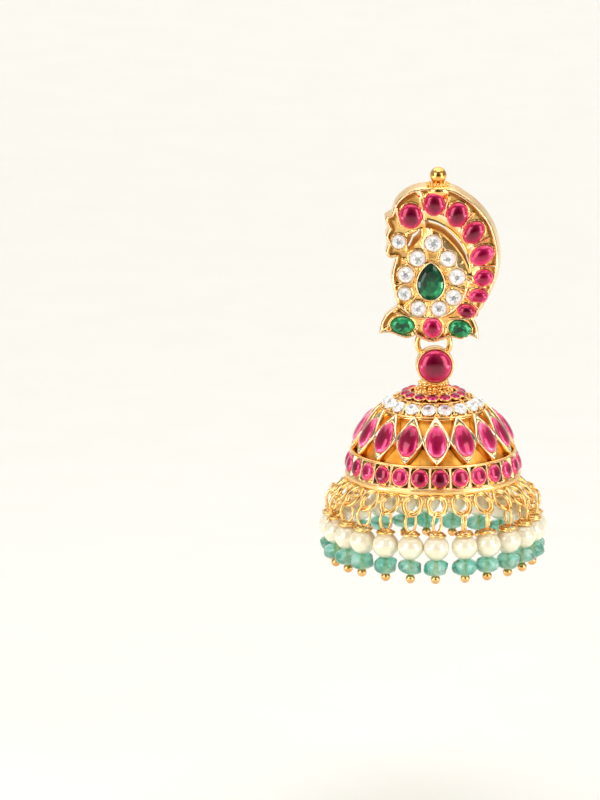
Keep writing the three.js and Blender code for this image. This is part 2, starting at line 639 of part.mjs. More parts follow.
const group = new THREE.Group();
group.add(makeStud());
group.add(makePost());
group.add(makeLinkRing());
group.add(makeDome());
export default group;
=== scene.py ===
"""Jhumka earring: fine meshes, materials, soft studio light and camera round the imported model."""
import math
import random

import bpy
import numpy as np
from mathutils import Matrix, Vector
from mathutils.geometry import delaunay_2d_cdt


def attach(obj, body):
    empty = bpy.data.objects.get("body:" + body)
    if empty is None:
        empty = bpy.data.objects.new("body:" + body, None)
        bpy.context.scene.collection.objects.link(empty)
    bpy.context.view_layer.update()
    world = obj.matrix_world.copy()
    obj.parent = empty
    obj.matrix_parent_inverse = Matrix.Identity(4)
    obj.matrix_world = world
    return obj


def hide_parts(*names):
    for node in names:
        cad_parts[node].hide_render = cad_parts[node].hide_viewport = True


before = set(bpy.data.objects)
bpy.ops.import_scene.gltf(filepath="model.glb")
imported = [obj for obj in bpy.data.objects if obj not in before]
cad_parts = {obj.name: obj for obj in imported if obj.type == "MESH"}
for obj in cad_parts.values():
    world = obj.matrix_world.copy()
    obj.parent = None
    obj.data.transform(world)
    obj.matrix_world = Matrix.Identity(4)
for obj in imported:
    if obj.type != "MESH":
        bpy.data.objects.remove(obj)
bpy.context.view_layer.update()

MM = 0.001
RNG = random.Random(11)

# Stud, in millimetres. Its face is laid out in shares of the stud's height.
STUD_HEIGHT = 24.0
STUD_DEPTH = 2.6
STUD_DRAFT = 1.035
RIM_RISE = 0.4
FOOT_PLATE = 1.1
FOOT_RECESS_TOP = -7.0
STUD_GAP_DRAFT = 0.8
FINIAL_X = 1.05
FINIAL_BALL = 1.3
FINIAL_Z = 13.3
FIELD_Y = -STUD_DEPTH + RIM_RISE
POST_RADIUS = 0.45
POST_LENGTH = 10.5
POST_COLLAR = 8.4

# Link ring and the soldered loops.
RING_OUTER = 5.85
RING_WIRE = 0.9
RING_Y = -0.7
RING_X = 0.45
RING_TOP_Z = -9.0
RING_MEAN = (RING_OUTER - RING_WIRE) / 2
RING_BOTTOM_Z = RING_TOP_Z - 2 * RING_MEAN
LOOP_WIRE = 0.6
LOOP_MEAN = RING_WIRE / 2 + 0.3 + LOOP_WIRE / 2

# Drop: bezel, neck and dome, about the dome's axis.
DROP_TURN = 6.0
BEZEL_OUTER = 5.76
BEZEL_DEPTH = 2.2
BEZEL_BACK_Y = -RING_WIRE / 2 - 0.55
BEZEL_FRONT_Y = BEZEL_BACK_Y - BEZEL_DEPTH
BEZEL_Z = RING_BOTTOM_Z - 0.45
BEZEL_WALL = 0.36
DOME_RADIUS = 13.1
DOME_RISE = 14.0
DOME_CENTRE_Z = -32.5
DOME_TOP_RADIUS = 3.4
RIM_RADIUS = 13.3
RIM_TAPER = 0.7
RIM_TOP_Z = -28.15
RIM_BOTTOM_Z = -31.5
RIM_MIDDLE_Z = (RIM_TOP_Z + RIM_BOTTOM_Z) / 2
FLANGE_RADIUS = 13.1
FLANGE_Z = -32.75
BAND_TOP_Z = -21.5
BAND_WAIST_Z = -24.6
BAND_BOTTOM_Z = -27.7
LOZENGE_COUNT = 16
LOZENGE_PHASE = -2.2
RECESS_DEPTH = 0.7
WHITE_COUNT = 17
WHITE_PHASE = 9.7
WHITE_Z = -20.6
TOP_RING_Z = -19.28
RIM_STONES = 26
RIM_RUBY_WIDTH = 2.62
RIM_RUBY_HEIGHT = 2.7
DOME_WALL = 1.1
TOP_STONES = 14
TOP_PHASE = -7
TOP_RAIL_Z = -19.82
WHITE_TOP_Z = -19.7
GRAIN_PLACES = ((-21.2, 1.6), (-21.2, -1.6), (-20.05, 2.0), (-20.05, -2.0))

# Hangers and bead drops.
DROP_COUNT = 24
DROP_PHASE = -2.3
HANGER_WIDTH = 3.4
HANGER_STRETCH = 1.3
HANGER_WIRE = 0.56
HANGER_TILT = math.radians(45)
HANGER_MEAN = (HANGER_WIDTH - HANGER_WIRE) / 2
HANGER_REACH = HANGER_MEAN * HANGER_STRETCH
HANGER_TOP_R = FLANGE_RADIUS * math.cos(math.pi / LOZENGE_COUNT) + HANGER_WIRE / 2 - 0.16
HANGER_TOP_Z = FLANGE_Z + HANGER_WIRE / 2
DROP_RADIUS = HANGER_TOP_R + 2 * HANGER_REACH * math.sin(HANGER_TILT)
HANGER_BOTTOM_Z = HANGER_TOP_Z - 2 * HANGER_REACH * math.cos(HANGER_TILT)
EYE_WIDTH = 2.3
EYE_HEIGHT = 3.7
EYE_WIRE = 0.46
EYE_TURN = 35.0
EYE_CLEARANCE = 0.12
PEARL = 4.0
BEAD = 3.8
BEAD_HEIGHT = 2.4
BALL = 1.45

# Backdrop, in metres: its floor, its wall, the bend between them and its edges.
FLOOR_Z = -0.085
WALL_Y = 1.5
BEND = 0.5
SHEET_FRONT = -1.6
SHEET_HALF = 2.6
SHEET_TOP = 2.2

# Camera: what it looks at, the way back to it, and its distance, in millimetres.
CAMERA_TARGET = (-19.868, -5.147, -19.601)
CAMERA_BACK = (0.0392, -0.9755, 0.2164)
CAMERA_DISTANCE = 1000.0
CAMERA_LENS = 294.12

# The stud's outline, as stretches that meet at its corners: [x, z] in shares of the height.
STUD_STRETCHES = [
    [(-0.040, 0.543), (-0.106, 0.530), (-0.172, 0.494), (-0.222, 0.441), (-0.248, 0.371)],
    [(-0.248, 0.371), (-0.290, 0.338), (-0.267, 0.273)],
    [(-0.267, 0.273), (-0.286, 0.224), (-0.271, 0.175)],
    [(-0.271, 0.175), (-0.286, 0.118), (-0.263, 0.089), (-0.222, 0.089)],
    [(-0.222, 0.089), (-0.249, -0.026), (-0.238, -0.120), (-0.210, -0.226)],
    [(-0.210, -0.226), (-0.267, -0.263), (-0.308, -0.320), (-0.327, -0.404)],
    [(-0.327, -0.404), (-0.259, -0.398), (-0.160, -0.431), (-0.095, -0.414)],
    [(-0.095, -0.414), (-0.040, -0.443), (0.015, -0.457), (0.070, -0.443), (0.136, -0.423)],
    [(0.136, -0.423), (0.197, -0.435), (0.255, -0.414), (0.304, -0.435)],
    [(0.304, -0.435), (0.300, -0.365), (0.275, -0.304)],
    [(0.275, -0.304), (0.349, -0.189), (0.413, -0.038), (0.427, 0.122), (0.386, 0.293),
     (0.292, 0.424), (0.177, 0.510), (0.123, 0.535)],
]
STUD_GAPS = [
    [[(-0.040, 0.340), (0.029, 0.324), (0.107, 0.281), (0.181, 0.208), (0.230, 0.115), (0.249, 0.003)],
     [(0.249, 0.003), (0.203, 0.105), (0.132, 0.195), (0.051, 0.264), (-0.035, 0.287)]],
    [[(-0.152, 0.238), (-0.101, 0.263), (-0.060, 0.279)],
     [(-0.060, 0.279), (-0.062, 0.224), (-0.107, 0.171), (-0.152, 0.136)]],
]


def in_millimetres(rows):
    """Places and axes from shares of the stud's height; names and turns stay as they are."""
    return [(node, *(share * STUD_HEIGHT for share in shares), turn) for node, *shares, turn in rows]


# Stones: node, centre and axes in shares of the height, and the long axis's turn in degrees.
CRESCENT = in_millimetres([
    ("crescent_ruby_1", -0.129, 0.360, 0.160, 0.143, 90),
    ("crescent_ruby_2", 0.021, 0.439, 0.150, 0.134, 95),
    ("crescent_ruby_3", 0.168, 0.372, 0.160, 0.132, 75),
    ("crescent_ruby_4", 0.272, 0.258, 0.160, 0.121, 50),
    ("crescent_ruby_5", 0.325, 0.111, 0.162, 0.117, 32),
    ("crescent_ruby_6", 0.336, -0.034, 0.123, 0.107, 15),
    ("crescent_ruby_7", 0.305, -0.152, 0.123, 0.088, -5),
    ("crescent_ruby_8", 0.229, -0.252, 0.115, 0.086, -10),
])
PINK_RUBIES = ("crescent_ruby_5", "crescent_ruby_6", "crescent_ruby_7", "base_ruby")
FOOT_STONES = in_millimetres([
    ("leaf_emerald_left", -0.178, -0.349, 0.150, 0.107, -5),
    ("leaf_emerald_right", 0.188, -0.369, 0.143, 0.109, -12),
    ("base_ruby", 0.013, -0.364, 0.127, 0.119, 90),
])
WHITES = [(x * STUD_HEIGHT, z * STUD_HEIGHT, size * STUD_HEIGHT) for x, z, size in [
    (0.015, 0.185, 0.113), (0.110, 0.086, 0.107), (0.168, -0.032, 0.109), (0.147, -0.165, 0.107),
    (0.054, -0.240, 0.102), (-0.078, -0.240, 0.102), (-0.166, -0.144, 0.092), (-0.159, -0.019, 0.107),
    (-0.085, 0.086, 0.107), (-0.205, 0.193, 0.094),
]]
PEAR = tuple(share * STUD_HEIGHT for share in (0.0, -0.062, 0.162, 0.228))


class Shape:
    """Vertices in millimetres, and faces that each have a material index, a smooth flag and a
    tone, which is one number or one for each corner."""

    def __init__(self, verts, faces, slot=0, smooth=True):
        self.verts = np.asarray(verts, float).reshape(-1, 3)
        self.faces = [tuple(face) for face in faces]
        self.slots = [slot] * len(self.faces)
        self.smooth = [smooth] * len(self.faces)
        self.tones = [0.0] * len(self.faces)

    def moved(self, matrix):
        """A copy of the shape under a 4x4 matrix."""
        grid = np.array(matrix)
        copy = Shape(self.verts @ grid[:3, :3].T + grid[:3, 3], self.faces)
        copy.slots, copy.smooth, copy.tones = list(self.slots), list(self.smooth), list(self.tones)
        return copy

    def shifted(self, x, y, z):
        return self.moved(Matrix.Translation((x, y, z)))

    def turned(self, degrees, axis):
        return self.moved(Matrix.Rotation(math.radians(degrees), 4, axis))

    def with_slot(self, slot):
        self.slots = [slot] * len(self.faces)
        return self


def joined(shapes):
    total = Shape(np.concatenate([shape.verts for shape in shapes]), [])
    offset = 0
    for shape in shapes:
        total.faces += [tuple(i + offset for i in face) for face in shape.faces]
        total.slots += shape.slots
        total.smooth += shape.smooth
        total.tones += shape.tones
        offset += len(shape.verts)
    return total


def piece(name, shape, materials, body, slot, *nodes):
    """Makes a Blender object from a shape, riding on a body and standing for its CAD nodes."""
    mesh = bpy.data.meshes.new(name)
    mesh.from_pydata((shape.verts * MM).tolist(), [], shape.faces)
    mesh.polygons.foreach_set("material_index", shape.slots)
    mesh.polygons.foreach_set("use_smooth", shape.smooth)
    for material in materials:
        mesh.materials.append(material)
    corners = []
    for face, tone in zip(shape.faces, shape.tones):
        corners += tone if isinstance(tone, tuple) else [tone] * len(face)
    mesh.attributes.new("tone", "FLOAT", "CORNER").data.foreach_set("value", corners)
    mesh.update()
    obj = bpy.data.objects.new(name, mesh)
    bpy.context.scene.collection.objects.link(obj)
    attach(obj, body)
    if nodes:
        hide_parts(*nodes)
    return obj


def around(turn, reach, z):
    """A point at a turn about Z, from the front, and a reach and height."""
    return (reach * math.sin(turn), -reach * math.cos(turn), z)


def turns(count, shift=0.0):
    """Angles that share a full turn equally."""
    return (np.arange(count) + shift) * 2 * math.pi / count


def strip(rings, closed_ends=True):
    """Faces through equal rings of points, each ring closed, with its two ends capped by fans."""
    count = len(rings[0])
    verts = np.concatenate(rings)
    faces = []
    for ring in range(len(rings) - 1):
        low, high = ring * count, (ring + 1) * count
        faces += [(low + i, low + (i + 1) % count, high + (i + 1) % count, high + i) for i in range(count)]
    if closed_ends:
        top = (len(rings) - 1) * count
        verts = np.concatenate([verts, [np.mean(rings[0], 0)], [np.mean(rings[-1], 0)]])
        first, last = len(verts) - 2, len(verts) - 1
        faces += [(first, (i + 1) % count, i) for i in range(count)]
        faces += [(last, top + i, top + (i + 1) % count) for i in range(count)]
    return Shape(verts, faces)


def lathe(rows, sides):
    """A surface about Z from (radius, z) rows that run up its outside, closed by fans on the axis."""
    angles = turns(sides)
    rings = [np.stack([r * np.sin(angles), -r * np.cos(angles), np.full(sides, z)], 1) for r, z in rows]
    return strip(rings)


def hoop(rows, sides, wave=None):
    """A closed ring of revolution: its section's (radius, z) rows go round and meet."""
    rows = np.asarray(rows, float)
    count = len(rows)
    verts = []
    for k in range(sides):
        angle = 2 * math.pi * k / sides
        lift = wave(angle) if wave else 0.0
        for r, z in rows:
            verts.append(around(angle, r + lift, z))
    faces = []
    for k in range(sides):
        here, there = k * count, (k + 1) % sides * count
        for i in range(count):
            j = (i + 1) % count
            faces.append((here + i, there + i, there + j, here + j))
    return Shape(verts, faces)


def round_section(radius, z, half_width, half_height):
    """The (radius, z) rows of a rounded ring section."""
    angles = turns(12)
    return np.stack([radius + half_width * np.cos(angles), z + half_height * np.sin(angles)], 1)


def wire(path, radius, sides, closed=True):
    """A round wire along a path of points."""
    path = np.asarray(path, float)
    count = len(path)
    if closed:
        along = np.roll(path, -1, 0) - np.roll(path, 1, 0)
    else:
        along = np.gradient(path, axis=0)
    along /= np.linalg.norm(along, axis=1)[:, None]
    normal = np.cross(along[0], (0.3, 0.5, 0.8))
    angles = turns(sides)
    across, up = np.cos(angles)[:, None], np.sin(angles)[:, None]
    rings = []
    for k in range(count):
        normal = normal - along[k] * normal.dot(along[k])
        normal /= np.linalg.norm(normal)
        rings.append(path[k] + radius * (across * normal + up * np.cross(along[k], normal)))
    if not closed:
        return strip(rings)
    shape = strip(rings, closed_ends=False)
    last, near = (count - 1) * sides, rings[0] - path[0]
    shift = int(np.argmin([np.linalg.norm(rings[-1][0] - path[-1] - near[i]) for i in range(sides)]))
    closing = [(last + i, last + (i + 1) % sides, (i + 1 + shift) % sides, (i + shift) % sides)
               for i in range(sides)]
    return Shape(shape.verts, shape.faces + closing)


def oval_path(width, height, points=56):
    """An oval in the XZ plane."""
    t = turns(points)
    return np.stack([width / 2 * np.sin(t), np.zeros(points), height / 2 * np.cos(t)], 1)


def ball(radius, squash, sides):
    rows = []
    steps = sides // 2
    for k in range(1, steps):
        polar = math.pi * (1 - k / steps)
        rows.append((radius * math.sin(polar), radius * squash * math.cos(polar)))
    return lathe([(0.001, -radius * squash)] + rows + [(0.001, radius * squash)], sides)


def spline(rows, per_span):
    """Points of a Catmull-Rom curve through rows, without its last point."""
    rows = np.asarray(rows, float)
    points = []
    for k in range(len(rows) - 1):
        a, b, c, d = rows[max(k - 1, 0)], rows[k], rows[k + 1], rows[min(k + 2, len(rows) - 1)]
        for step in range(per_span):
            t = step / per_span
            points.append(0.5 * (2 * b + (c - a) * t + (2 * a - 5 * b + 4 * c - d) * t ** 2
                                 + (3 * b - a - 3 * c + d) * t ** 3))
    return points


def closed_outline(stretches, per_span):
    points = []
    for rows in stretches:
        points += spline(rows, per_span)
    end = np.array(stretches[-1][-1], float)
    run = np.linalg.norm(end - points[0])
    if run > 1e-6:
        steps = max(2, int(run * STUD_HEIGHT / 0.2))
        points += [end + (points[0] - end) * k / steps for k in range(steps)]
    return np.array(points) * STUD_HEIGHT


def ellipse(width, height, sides, turn=0.0):
    t = turns(sides, 0.5)
    x, z = width / 2 * np.cos(t), height / 2 * np.sin(t)
    c, s = math.cos(math.radians(turn)), math.sin(math.radians(turn))
    return np.stack([x * c - z * s, x * s + z * c], 1)


def pear(width, height, sides):
    t = turns(sides)
    side = np.sin(t) * np.sqrt(np.abs(np.sin(t / 2)))
    return np.stack([-width / 2 / 0.86 * side, height / 2 * np.cos(t)], 1)


def face_loft(outline, levels):
    """A front-facing solid through one outline at (y, scale) levels, from back to front."""
    rings = []
    for y, scale in levels:
        rings.append(np.stack([outline[:, 0] * scale, np.full(len(outline), y), outline[:, 1] * scale], 1))
    return strip(rings)


def cabochon(outline, back_y, girdle_y, rise, steps=9):
    """A domed stone over an outline: straight to its girdle, then a smooth crown."""
    levels = [(back_y, 0.9), (girdle_y, 1.0)]
    for k in range(1, steps + 1):
        angle = k / steps * math.pi / 2 * 0.985
        levels.append((girdle_y - rise * math.sin(angle), math.cos(angle) ** 0.9))
    return toned_crown(face_loft(outline, levels), [scale for _, scale in levels])


def ring_toned(shape, tones):
    """Gives each ring of a capped strip its own tone."""
    count = (len(shape.verts) - 2) // len(tones)
    last = len(tones) - 1
    shape.tones = [tuple(tones[min(index // count, last)] for index in face) for face in shape.faces]
    return shape


def toned_crown(shape, scales):
    """Gives a stone a tone that falls from 1 at its thin edge to 0 at its thick middle."""
    return ring_toned(shape, [0.0] + [scale ** 2 for scale in scales[1:]])


def cut_stone(width, height, back_y, girdle_y, rise, turn):
    """A faceted stone: girdle, star and main facets, and a table whose inner facets are painted dark as
    painted reflections.
    """
    levels = [(back_y, 0.72, 0), (girdle_y + 0.12, 1.0, 0), (girdle_y, 1.0, 0),
              (girdle_y - rise * 0.6, 0.84, 1), (girdle_y - rise, 0.62, 0), (girdle_y - rise, 0.3, 1)]
    sides = 16
    rings = []
    c, s = math.cos(math.radians(turn)), math.sin(math.radians(turn))
    for y, scale, half in levels:
        t = turns(sides, 0.5 * half)
        x, z = width / 2 * scale * np.cos(t), height / 2 * scale * np.sin(t)
        rings.append(np.stack([x * c - z * s, np.full(sides, y), x * s + z * c], 1))
    return faceted(strip(rings), sides)


def faceted(shape, sides):
    """Flat facets with painted reflections: mixed brightness, with the darkest ones in the middle of the
    table.
    """
    shape.smooth = [False] * len(shape.faces)
    spans = [(0.7, 1.0)] * 4 + [(0.2, 1.0), (0.0, 0.4), (0.0, 0.4)]
    shape.tones = [RNG.uniform(*spans[index // sides]) for index in range(len(shape.faces))]
    return shape


def dome_at(angle):
    radius = DOME_RADIUS * math.cos(angle)
    z = DOME_CENTRE_Z + DOME_RISE * math.sin(angle)
    slope = math.atan2(DOME_RADIUS * math.sin(angle), DOME_RISE * math.cos(angle))
    return radius, z, slope


def dome_angle(z):
    return math.asin((z - DOME_CENTRE_Z) / DOME_RISE)


def dome_point(turn, z, lift):
    """A point proud of the dome by lift, at a turn in degrees round it and a height."""
    radius, _, slope = dome_at(dome_angle(z))
    return around(math.radians(turn), radius + lift * math.cos(slope), z + lift * math.sin(slope))


def on_dome(shape, z, lift=0.0):
    """Seats a front-facing shape, made round the origin, on the dome at a height."""
    slope = dome_at(dome_angle(z))[2]
    return shape.turned(-math.degrees(slope), "X").shifted(*dome_point(0, z, lift))


def repeated(shape, count, phase):
    return [shape.turned(phase + 360 * k / count, "Z") for k in range(count)]


def varied(shapes, low, high):
    """Stones of mixed depth of colour: each one's tones move by its own amount."""
    for shape in shapes:
        shift = RNG.uniform(low, high)
        shape.tones = [tuple(tone + shift for tone in tones) for tones in shape.tones]
    return shapes


def to_drop(shape):
    """From the dome's own axis to its place in the part's frame."""
    return shape.turned(DROP_TURN, "Z").shifted(RING_X, RING_Y, 0)


# Materials.

def new_material(name):
    material = bpy.data.materials.new(name)
    material.use_nodes = True
    nodes, links = material.node_tree.nodes, material.node_tree.links
    return material, nodes, links, nodes["Principled BSDF"]


def settle(shader, values):
    """Sets inputs of a shader that are the same all over the surface."""
    for name, value in values.items():
        shader.inputs[name].default_value = value


def noise(nodes, links, scale, detail, distortion=0.0):
    coordinates = nodes.new("ShaderNodeTexCoord")
    texture = nodes.new("ShaderNodeTexNoise")
    texture.inputs["Scale"].default_value = scale
    texture.inputs["Detail"].default_value = detail
    texture.inputs["Distortion"].default_value = distortion
    links.new(coordinates.outputs["Object"], texture.inputs["Vector"])
    return texture


def ramp(nodes, links, source, stops):
    """A colour ramp from (position, colour) stops."""
    node = nodes.new("ShaderNodeValToRGB")
    elements = node.color_ramp.elements
    for element, (position, color) in zip(elements, (stops[0], stops[-1])):
        element.position, element.color = position, (*color, 1)
    for position, color in stops[1:-1]:
        elements.new(position).color = (*color, 1)
    links.new(source, node.inputs["Fac"])
    return node


def add_bump(nodes, links, shader, source, strength, distance_mm):
    bump = nodes.new("ShaderNodeBump")
    bump.inputs["Strength"].default_value = strength
    bump.inputs["Distance"].default_value = distance_mm * MM
    links.new(source, bump.inputs["Height"])
    links.new(bump.outputs["Normal"], shader.inputs["Normal"])


# Painted shade and highlight: gold browns where the mesh's tone is above 0 and pales where it is below 0.
PAINTED_SHADE_TINT = (0.26, 0.085, 0.01)
PAINTED_HIGHLIGHT_TINT = (1.0, 0.85, 0.58)


def calculated(nodes, links, operation, *values):
    """A math node's result from values that are numbers or other nodes' outputs."""
    node = nodes.new("ShaderNodeMath")
    node.operation = operation
    for socket, value in zip(node.inputs, values):
        if isinstance(value, float):
            socket.default_value = value
        else:
            links.new(value, socket)
    return node.outputs["Value"]


def mesh_tone(nodes):
    """The tone that the mesh carries at each corner."""
    tone = nodes.new("ShaderNodeAttribute")
    tone.attribute_name = "tone"
    return tone.outputs["Fac"]


def blended(nodes, links, share, start, tint):
    """Moves a colour towards a tint by a share that is held between 0 and 1."""
    mix = nodes.new("ShaderNodeMix")
    mix.data_type = "RGBA"
    mix.clamp_factor = True
    links.new(share, mix.inputs["Factor"])
    links.new(start, mix.inputs["A"])
    mix.inputs["B"].default_value = (*tint, 1)
    return mix.outputs["Result"]


def gold_material(name, light, deep, roughness, bump_scale, bump_strength):
    """Gold whose tint and gloss vary a little, with painted shade, browner where the mesh's tone is
    above 0, in recesses, and painted highlight, paler where it is below 0, on raised edges."""
    material, nodes, links, shader = new_material(name)
    shader.inputs["Metallic"].default_value = 1.0
    tint = noise(nodes, links, 420.0, 3.0)
    colors = ramp(nodes, links, tint.outputs["Fac"], [(0.35, deep), (0.62, light)])
    tone = mesh_tone(nodes)
    shaded_color = blended(nodes, links, tone, colors.outputs["Color"], PAINTED_SHADE_TINT)
    below = calculated(nodes, links, "MULTIPLY", tone, -1.0)
    highlighted_color = blended(nodes, links, below, shaded_color, PAINTED_HIGHLIGHT_TINT)
    links.new(highlighted_color, shader.inputs["Base Color"])
    gloss = noise(nodes, links, 900.0, 5.0)
    span = nodes.new("ShaderNodeMapRange")
    span.inputs["To Min"].default_value = roughness * 0.7
    span.inputs["To Max"].default_value = roughness * 1.4
    links.new(gloss.outputs["Fac"], span.inputs["Value"])
    links.new(span.outputs["Result"], shader.inputs["Roughness"])
    surface = noise(nodes, links, bump_scale, 4.0, 0.4)
    add_bump(nodes, links, shader, surface.outputs["Fac"], bump_strength, 0.12)
    return material


def toned(nodes, links, stops, mottle):
    """Colour from the mesh's tone, stirred a little by a cloud."""
    tone = mesh_tone(nodes)
    cloud = noise(nodes, links, 420.0, 3.0, 0.5)
    stirred = calculated(nodes, links, "MULTIPLY_ADD", cloud.outputs["Fac"], mottle, tone)
    return ramp(nodes, links, calculated(nodes, links, "SUBTRACT", stirred, mottle / 2), stops)


def gem_material(name, stops, foil, roughness, mottle):
    """Glass over foil: deep in the stone's thick middle, lighter at its thin edge, and glossy.
    A share foil of its shine is metallic, and mottle sets how much its depth varies."""
    material, nodes, links, shader = new_material(name)
    colors = toned(nodes, links, stops, mottle)
    links.new(colors.outputs["Color"], shader.inputs["Base Color"])
    settle(shader, {"Metallic": foil, "Roughness": roughness, "Coat Weight": 1.0,
                    "Specular IOR Level": 0.2, "Coat Roughness": 0.02, "Coat IOR": 1.45})
    surface = noise(nodes, links, 240.0, 2.0)
    add_bump(nodes, links, shader, surface.outputs["Fac"], 0.1, 0.06)
    return material


def bead_material():
    """Tumbled translucent green glass with cloudy paler patches."""
    material, nodes, links, shader = new_material("bead_glass")
    cloud = noise(nodes, links, 330.0, 4.0, 1.2)
    stops = [(0.33, (0.08, 0.50, 0.36)), (0.5, (0.26, 0.72, 0.59)), (0.68, (0.62, 0.92, 0.84))]
    colors = ramp(nodes, links, cloud.outputs["Fac"], stops)
    links.new(colors.outputs["Color"], shader.inputs["Base Color"])
    settle(shader, {"Roughness": 0.12, "IOR": 1.5, "Transmission Weight": 0.72,
                    "Subsurface Weight": 0.3, "Subsurface Radius": (0.4, 1.0, 0.8),
                    "Subsurface Scale": 0.5 * MM, "Coat Weight": 0.5, "Coat Roughness": 0.06})
    add_bump(nodes, links, shader, cloud.outputs["Fac"], 0.25, 0.15)
    return material


def pearl_material():
    material, nodes, links, shader = new_material("pearl_lacquer")
    cloud = noise(nodes, links, 500.0, 4.0)
    colors = ramp(nodes, links, cloud.outputs["Fac"], [(0.3, (0.87, 0.78, 0.53)), (0.7, (0.94, 0.89, 0.70))])
    links.new(colors.outputs["Color"], shader.inputs["Base Color"])
    settle(shader, {"Roughness": 0.3, "Subsurface Weight": 0.2, "Subsurface Radius": (1.0, 0.8, 0.45),
                    "Subsurface Scale": 0.6 * MM, "Specular IOR Level": 1.0, "Coat Weight": 1.0,
                    "Coat Roughness": 0.1, "Coat IOR": 2.0})
    add_bump(nodes, links, shader, cloud.outputs["Fac"], 0.06, 0.03)
    return material


GOLD = gold_material("gold_polished", (1.0, 0.7, 0.31), (0.93, 0.55, 0.18), 0.12, 700.0, 0.25)
FOIL = gold_material("gold_foil", (1.0, 0.64, 0.23), (0.86, 0.39, 0.08), 0.13, 800.0, 0.5)
WIRE = gold_material("gold_wire", (1.0, 0.70, 0.3), (0.93, 0.56, 0.18), 0.12, 500.0, 0.15)
BALL_GOLD = gold_material("gold_ball", (0.9, 0.52, 0.2), (0.78, 0.4, 0.12), 0.22, 600.0, 0.1)
# The recess floor: rough, unpolished gold, in a deeper orange-brown that is painted shade.
FLOOR_GOLD_SHADED = gold_material("gold_unpolished_shaded", (1.0, 0.52, 0.1), (0.74, 0.28, 0.03), 0.45, 1100.0, 0.6)
# Painted light: a paler copy of the gold for the stud's gap walls; its roughness is the walls' own finish.
SIDE_GOLD_LIT = gold_material("gold_side_lit", (1.0, 0.68, 0.26), (0.95, 0.54, 0.15), 0.4, 700.0, 0.3)
SILVER_FOIL = gold_material("pale_foil", (0.97, 0.95, 0.92), (0.8, 0.78, 0.75), 0.25, 1200.0, 0.5)
RUBY_STOPS = [(0.0, (0.15, 0.0, 0.018)), (0.4, (0.32, 0.001, 0.045)),
              (0.75, (0.68, 0.012, 0.12)), (1.0, (0.92, 0.08, 0.25))]
RUBY = gem_material("ruby_glass", RUBY_STOPS, 0.55, 0.22, 0.5)
PINK_STOPS = [(0.0, (0.28, 0.0, 0.035)), (0.4, (0.52, 0.002, 0.085)),
              (0.75, (0.86, 0.035, 0.2)), (1.0, (1.0, 0.2, 0.38))]
RUBY_PINK = gem_material("ruby_pink_glass", PINK_STOPS, 0.5, 0.24, 0.9)
EMERALD_STOPS = [(0.0, (0.0, 0.022, 0.008)), (0.5, (0.0, 0.11, 0.036)), (1.0, (0.003, 0.38, 0.13))]
EMERALD = gem_material("emerald_glass", EMERALD_STOPS, 0.5, 0.14, 0.6)
# Grey to white by facet tone: the white stones' painted reflections.
WHITE_STOPS = [(0.0, (0.16, 0.16, 0.18)), (0.42, (0.6, 0.6, 0.62)),
               (0.75, (0.95, 0.95, 0.96)), (1.0, (1.0, 1.0, 1.0))]
WHITE = gem_material("white_stone_glass", WHITE_STOPS, 0.35, 0.12, 0.3)
BEAD_GLASS = bead_material()
PEARL_LACQUER = pearl_material()


# The stud's face is a fine relief over the outline.

def polyline_distance(points, line, closed=True):
    """Each point's distance to a polyline."""
    start = np.asarray(line, float)
    end = np.roll(start, -1, 0) if closed else start[1:]
    start = start if closed else start[:-1]
    best = np.full(len(points), 1e9)
    for a, b in zip(start, end):
        run = b - a
        t = np.clip((points - a) @ run / max(run @ run, 1e-12), 0, 1)
        best = np.minimum(best, np.hypot(*(points - a - t[:, None] * run).T))
    return best


def inside(points, polygon):
    result = np.zeros(len(points), bool)
    for a, b in zip(polygon, np.roll(polygon, -1, 0)):
        crosses = (a[1] > points[:, 1]) != (b[1] > points[:, 1])
        rise = b[1] - a[1] if abs(b[1] - a[1]) > 1e-12 else 1e-12
        result ^= crosses & (points[:, 0] < (b[0] - a[0]) * (points[:, 1] - a[1]) / rise + a[0])
    return result


def oval_distance(points, x, z, width, height, turn):
    """Roughly how far each point is outside an oval, negative inside."""
    c, s = math.cos(math.radians(turn)), math.sin(math.radians(turn))
    dx, dz = points[:, 0] - x, points[:, 1] - z
    u, v = dx * c + dz * s, -dx * s + dz * c
    k = np.hypot(u / (width / 2), v / (height / 2))
    length = np.hypot(u, v)
    return np.where(k > 1e-6, length * (1 - 1 / np.maximum(k, 1e-6)), -min(width, height) / 2)


def ridge(points, start, end, crest, width_start, width_end):
    """A sharp-crested bar from start to end that widens along its way."""
    start, end = np.asarray(start, float), np.asarray(end, float)
    run = end - start
    t = np.clip((points - start) @ run / (run @ run), 0, 1)
    gap = np.hypot(*(points - start - t[:, None] * run).T)
    return crest * np.clip(1 - gap / (width_start + (width_end - width_start) * t), 0, 1)


def bump_ring(distance, crest, inner, outer):
    """A rounded collet just outside a stone."""
    t = np.clip((distance - inner) / (outer - inner), 0, 1)
    return np.where((distance > inner) & (distance < outer), crest * np.sin(math.pi * t) ** 0.6, 0)


CRESCENT_HUB = np.array([0.2, 1.0])
CRESCENT_CREST = 0.42
CELL_CREST = 0.30
RIM_HALF = 0.27
CHANNEL_DEPTH = 0.5
FIELD_SINK = 0.2
GROOVE = -0.34
SEAT = -0.3
# The long raised line round the white stones, in shares of the height.
CLUSTER_LINE = [(0.239, -0.057), (0.224, -0.134), (0.175, -0.219), (0.092, -0.282), (-0.009, -0.298),
                (-0.110, -0.290), (-0.193, -0.226)]
# The bird's head: a ridge's foot in shares of the height, its two ends from there, crest and widths.
HEAD_RIDGES = [((-0.215, 0.36), (0.6, -1.6), (-0.3, 1.6), 0.35, (0.35, 0.6)),
               ((-0.055, 0.475), (0, 0), (-0.7, 1.1), 0.4, (0.3, 0.8))]
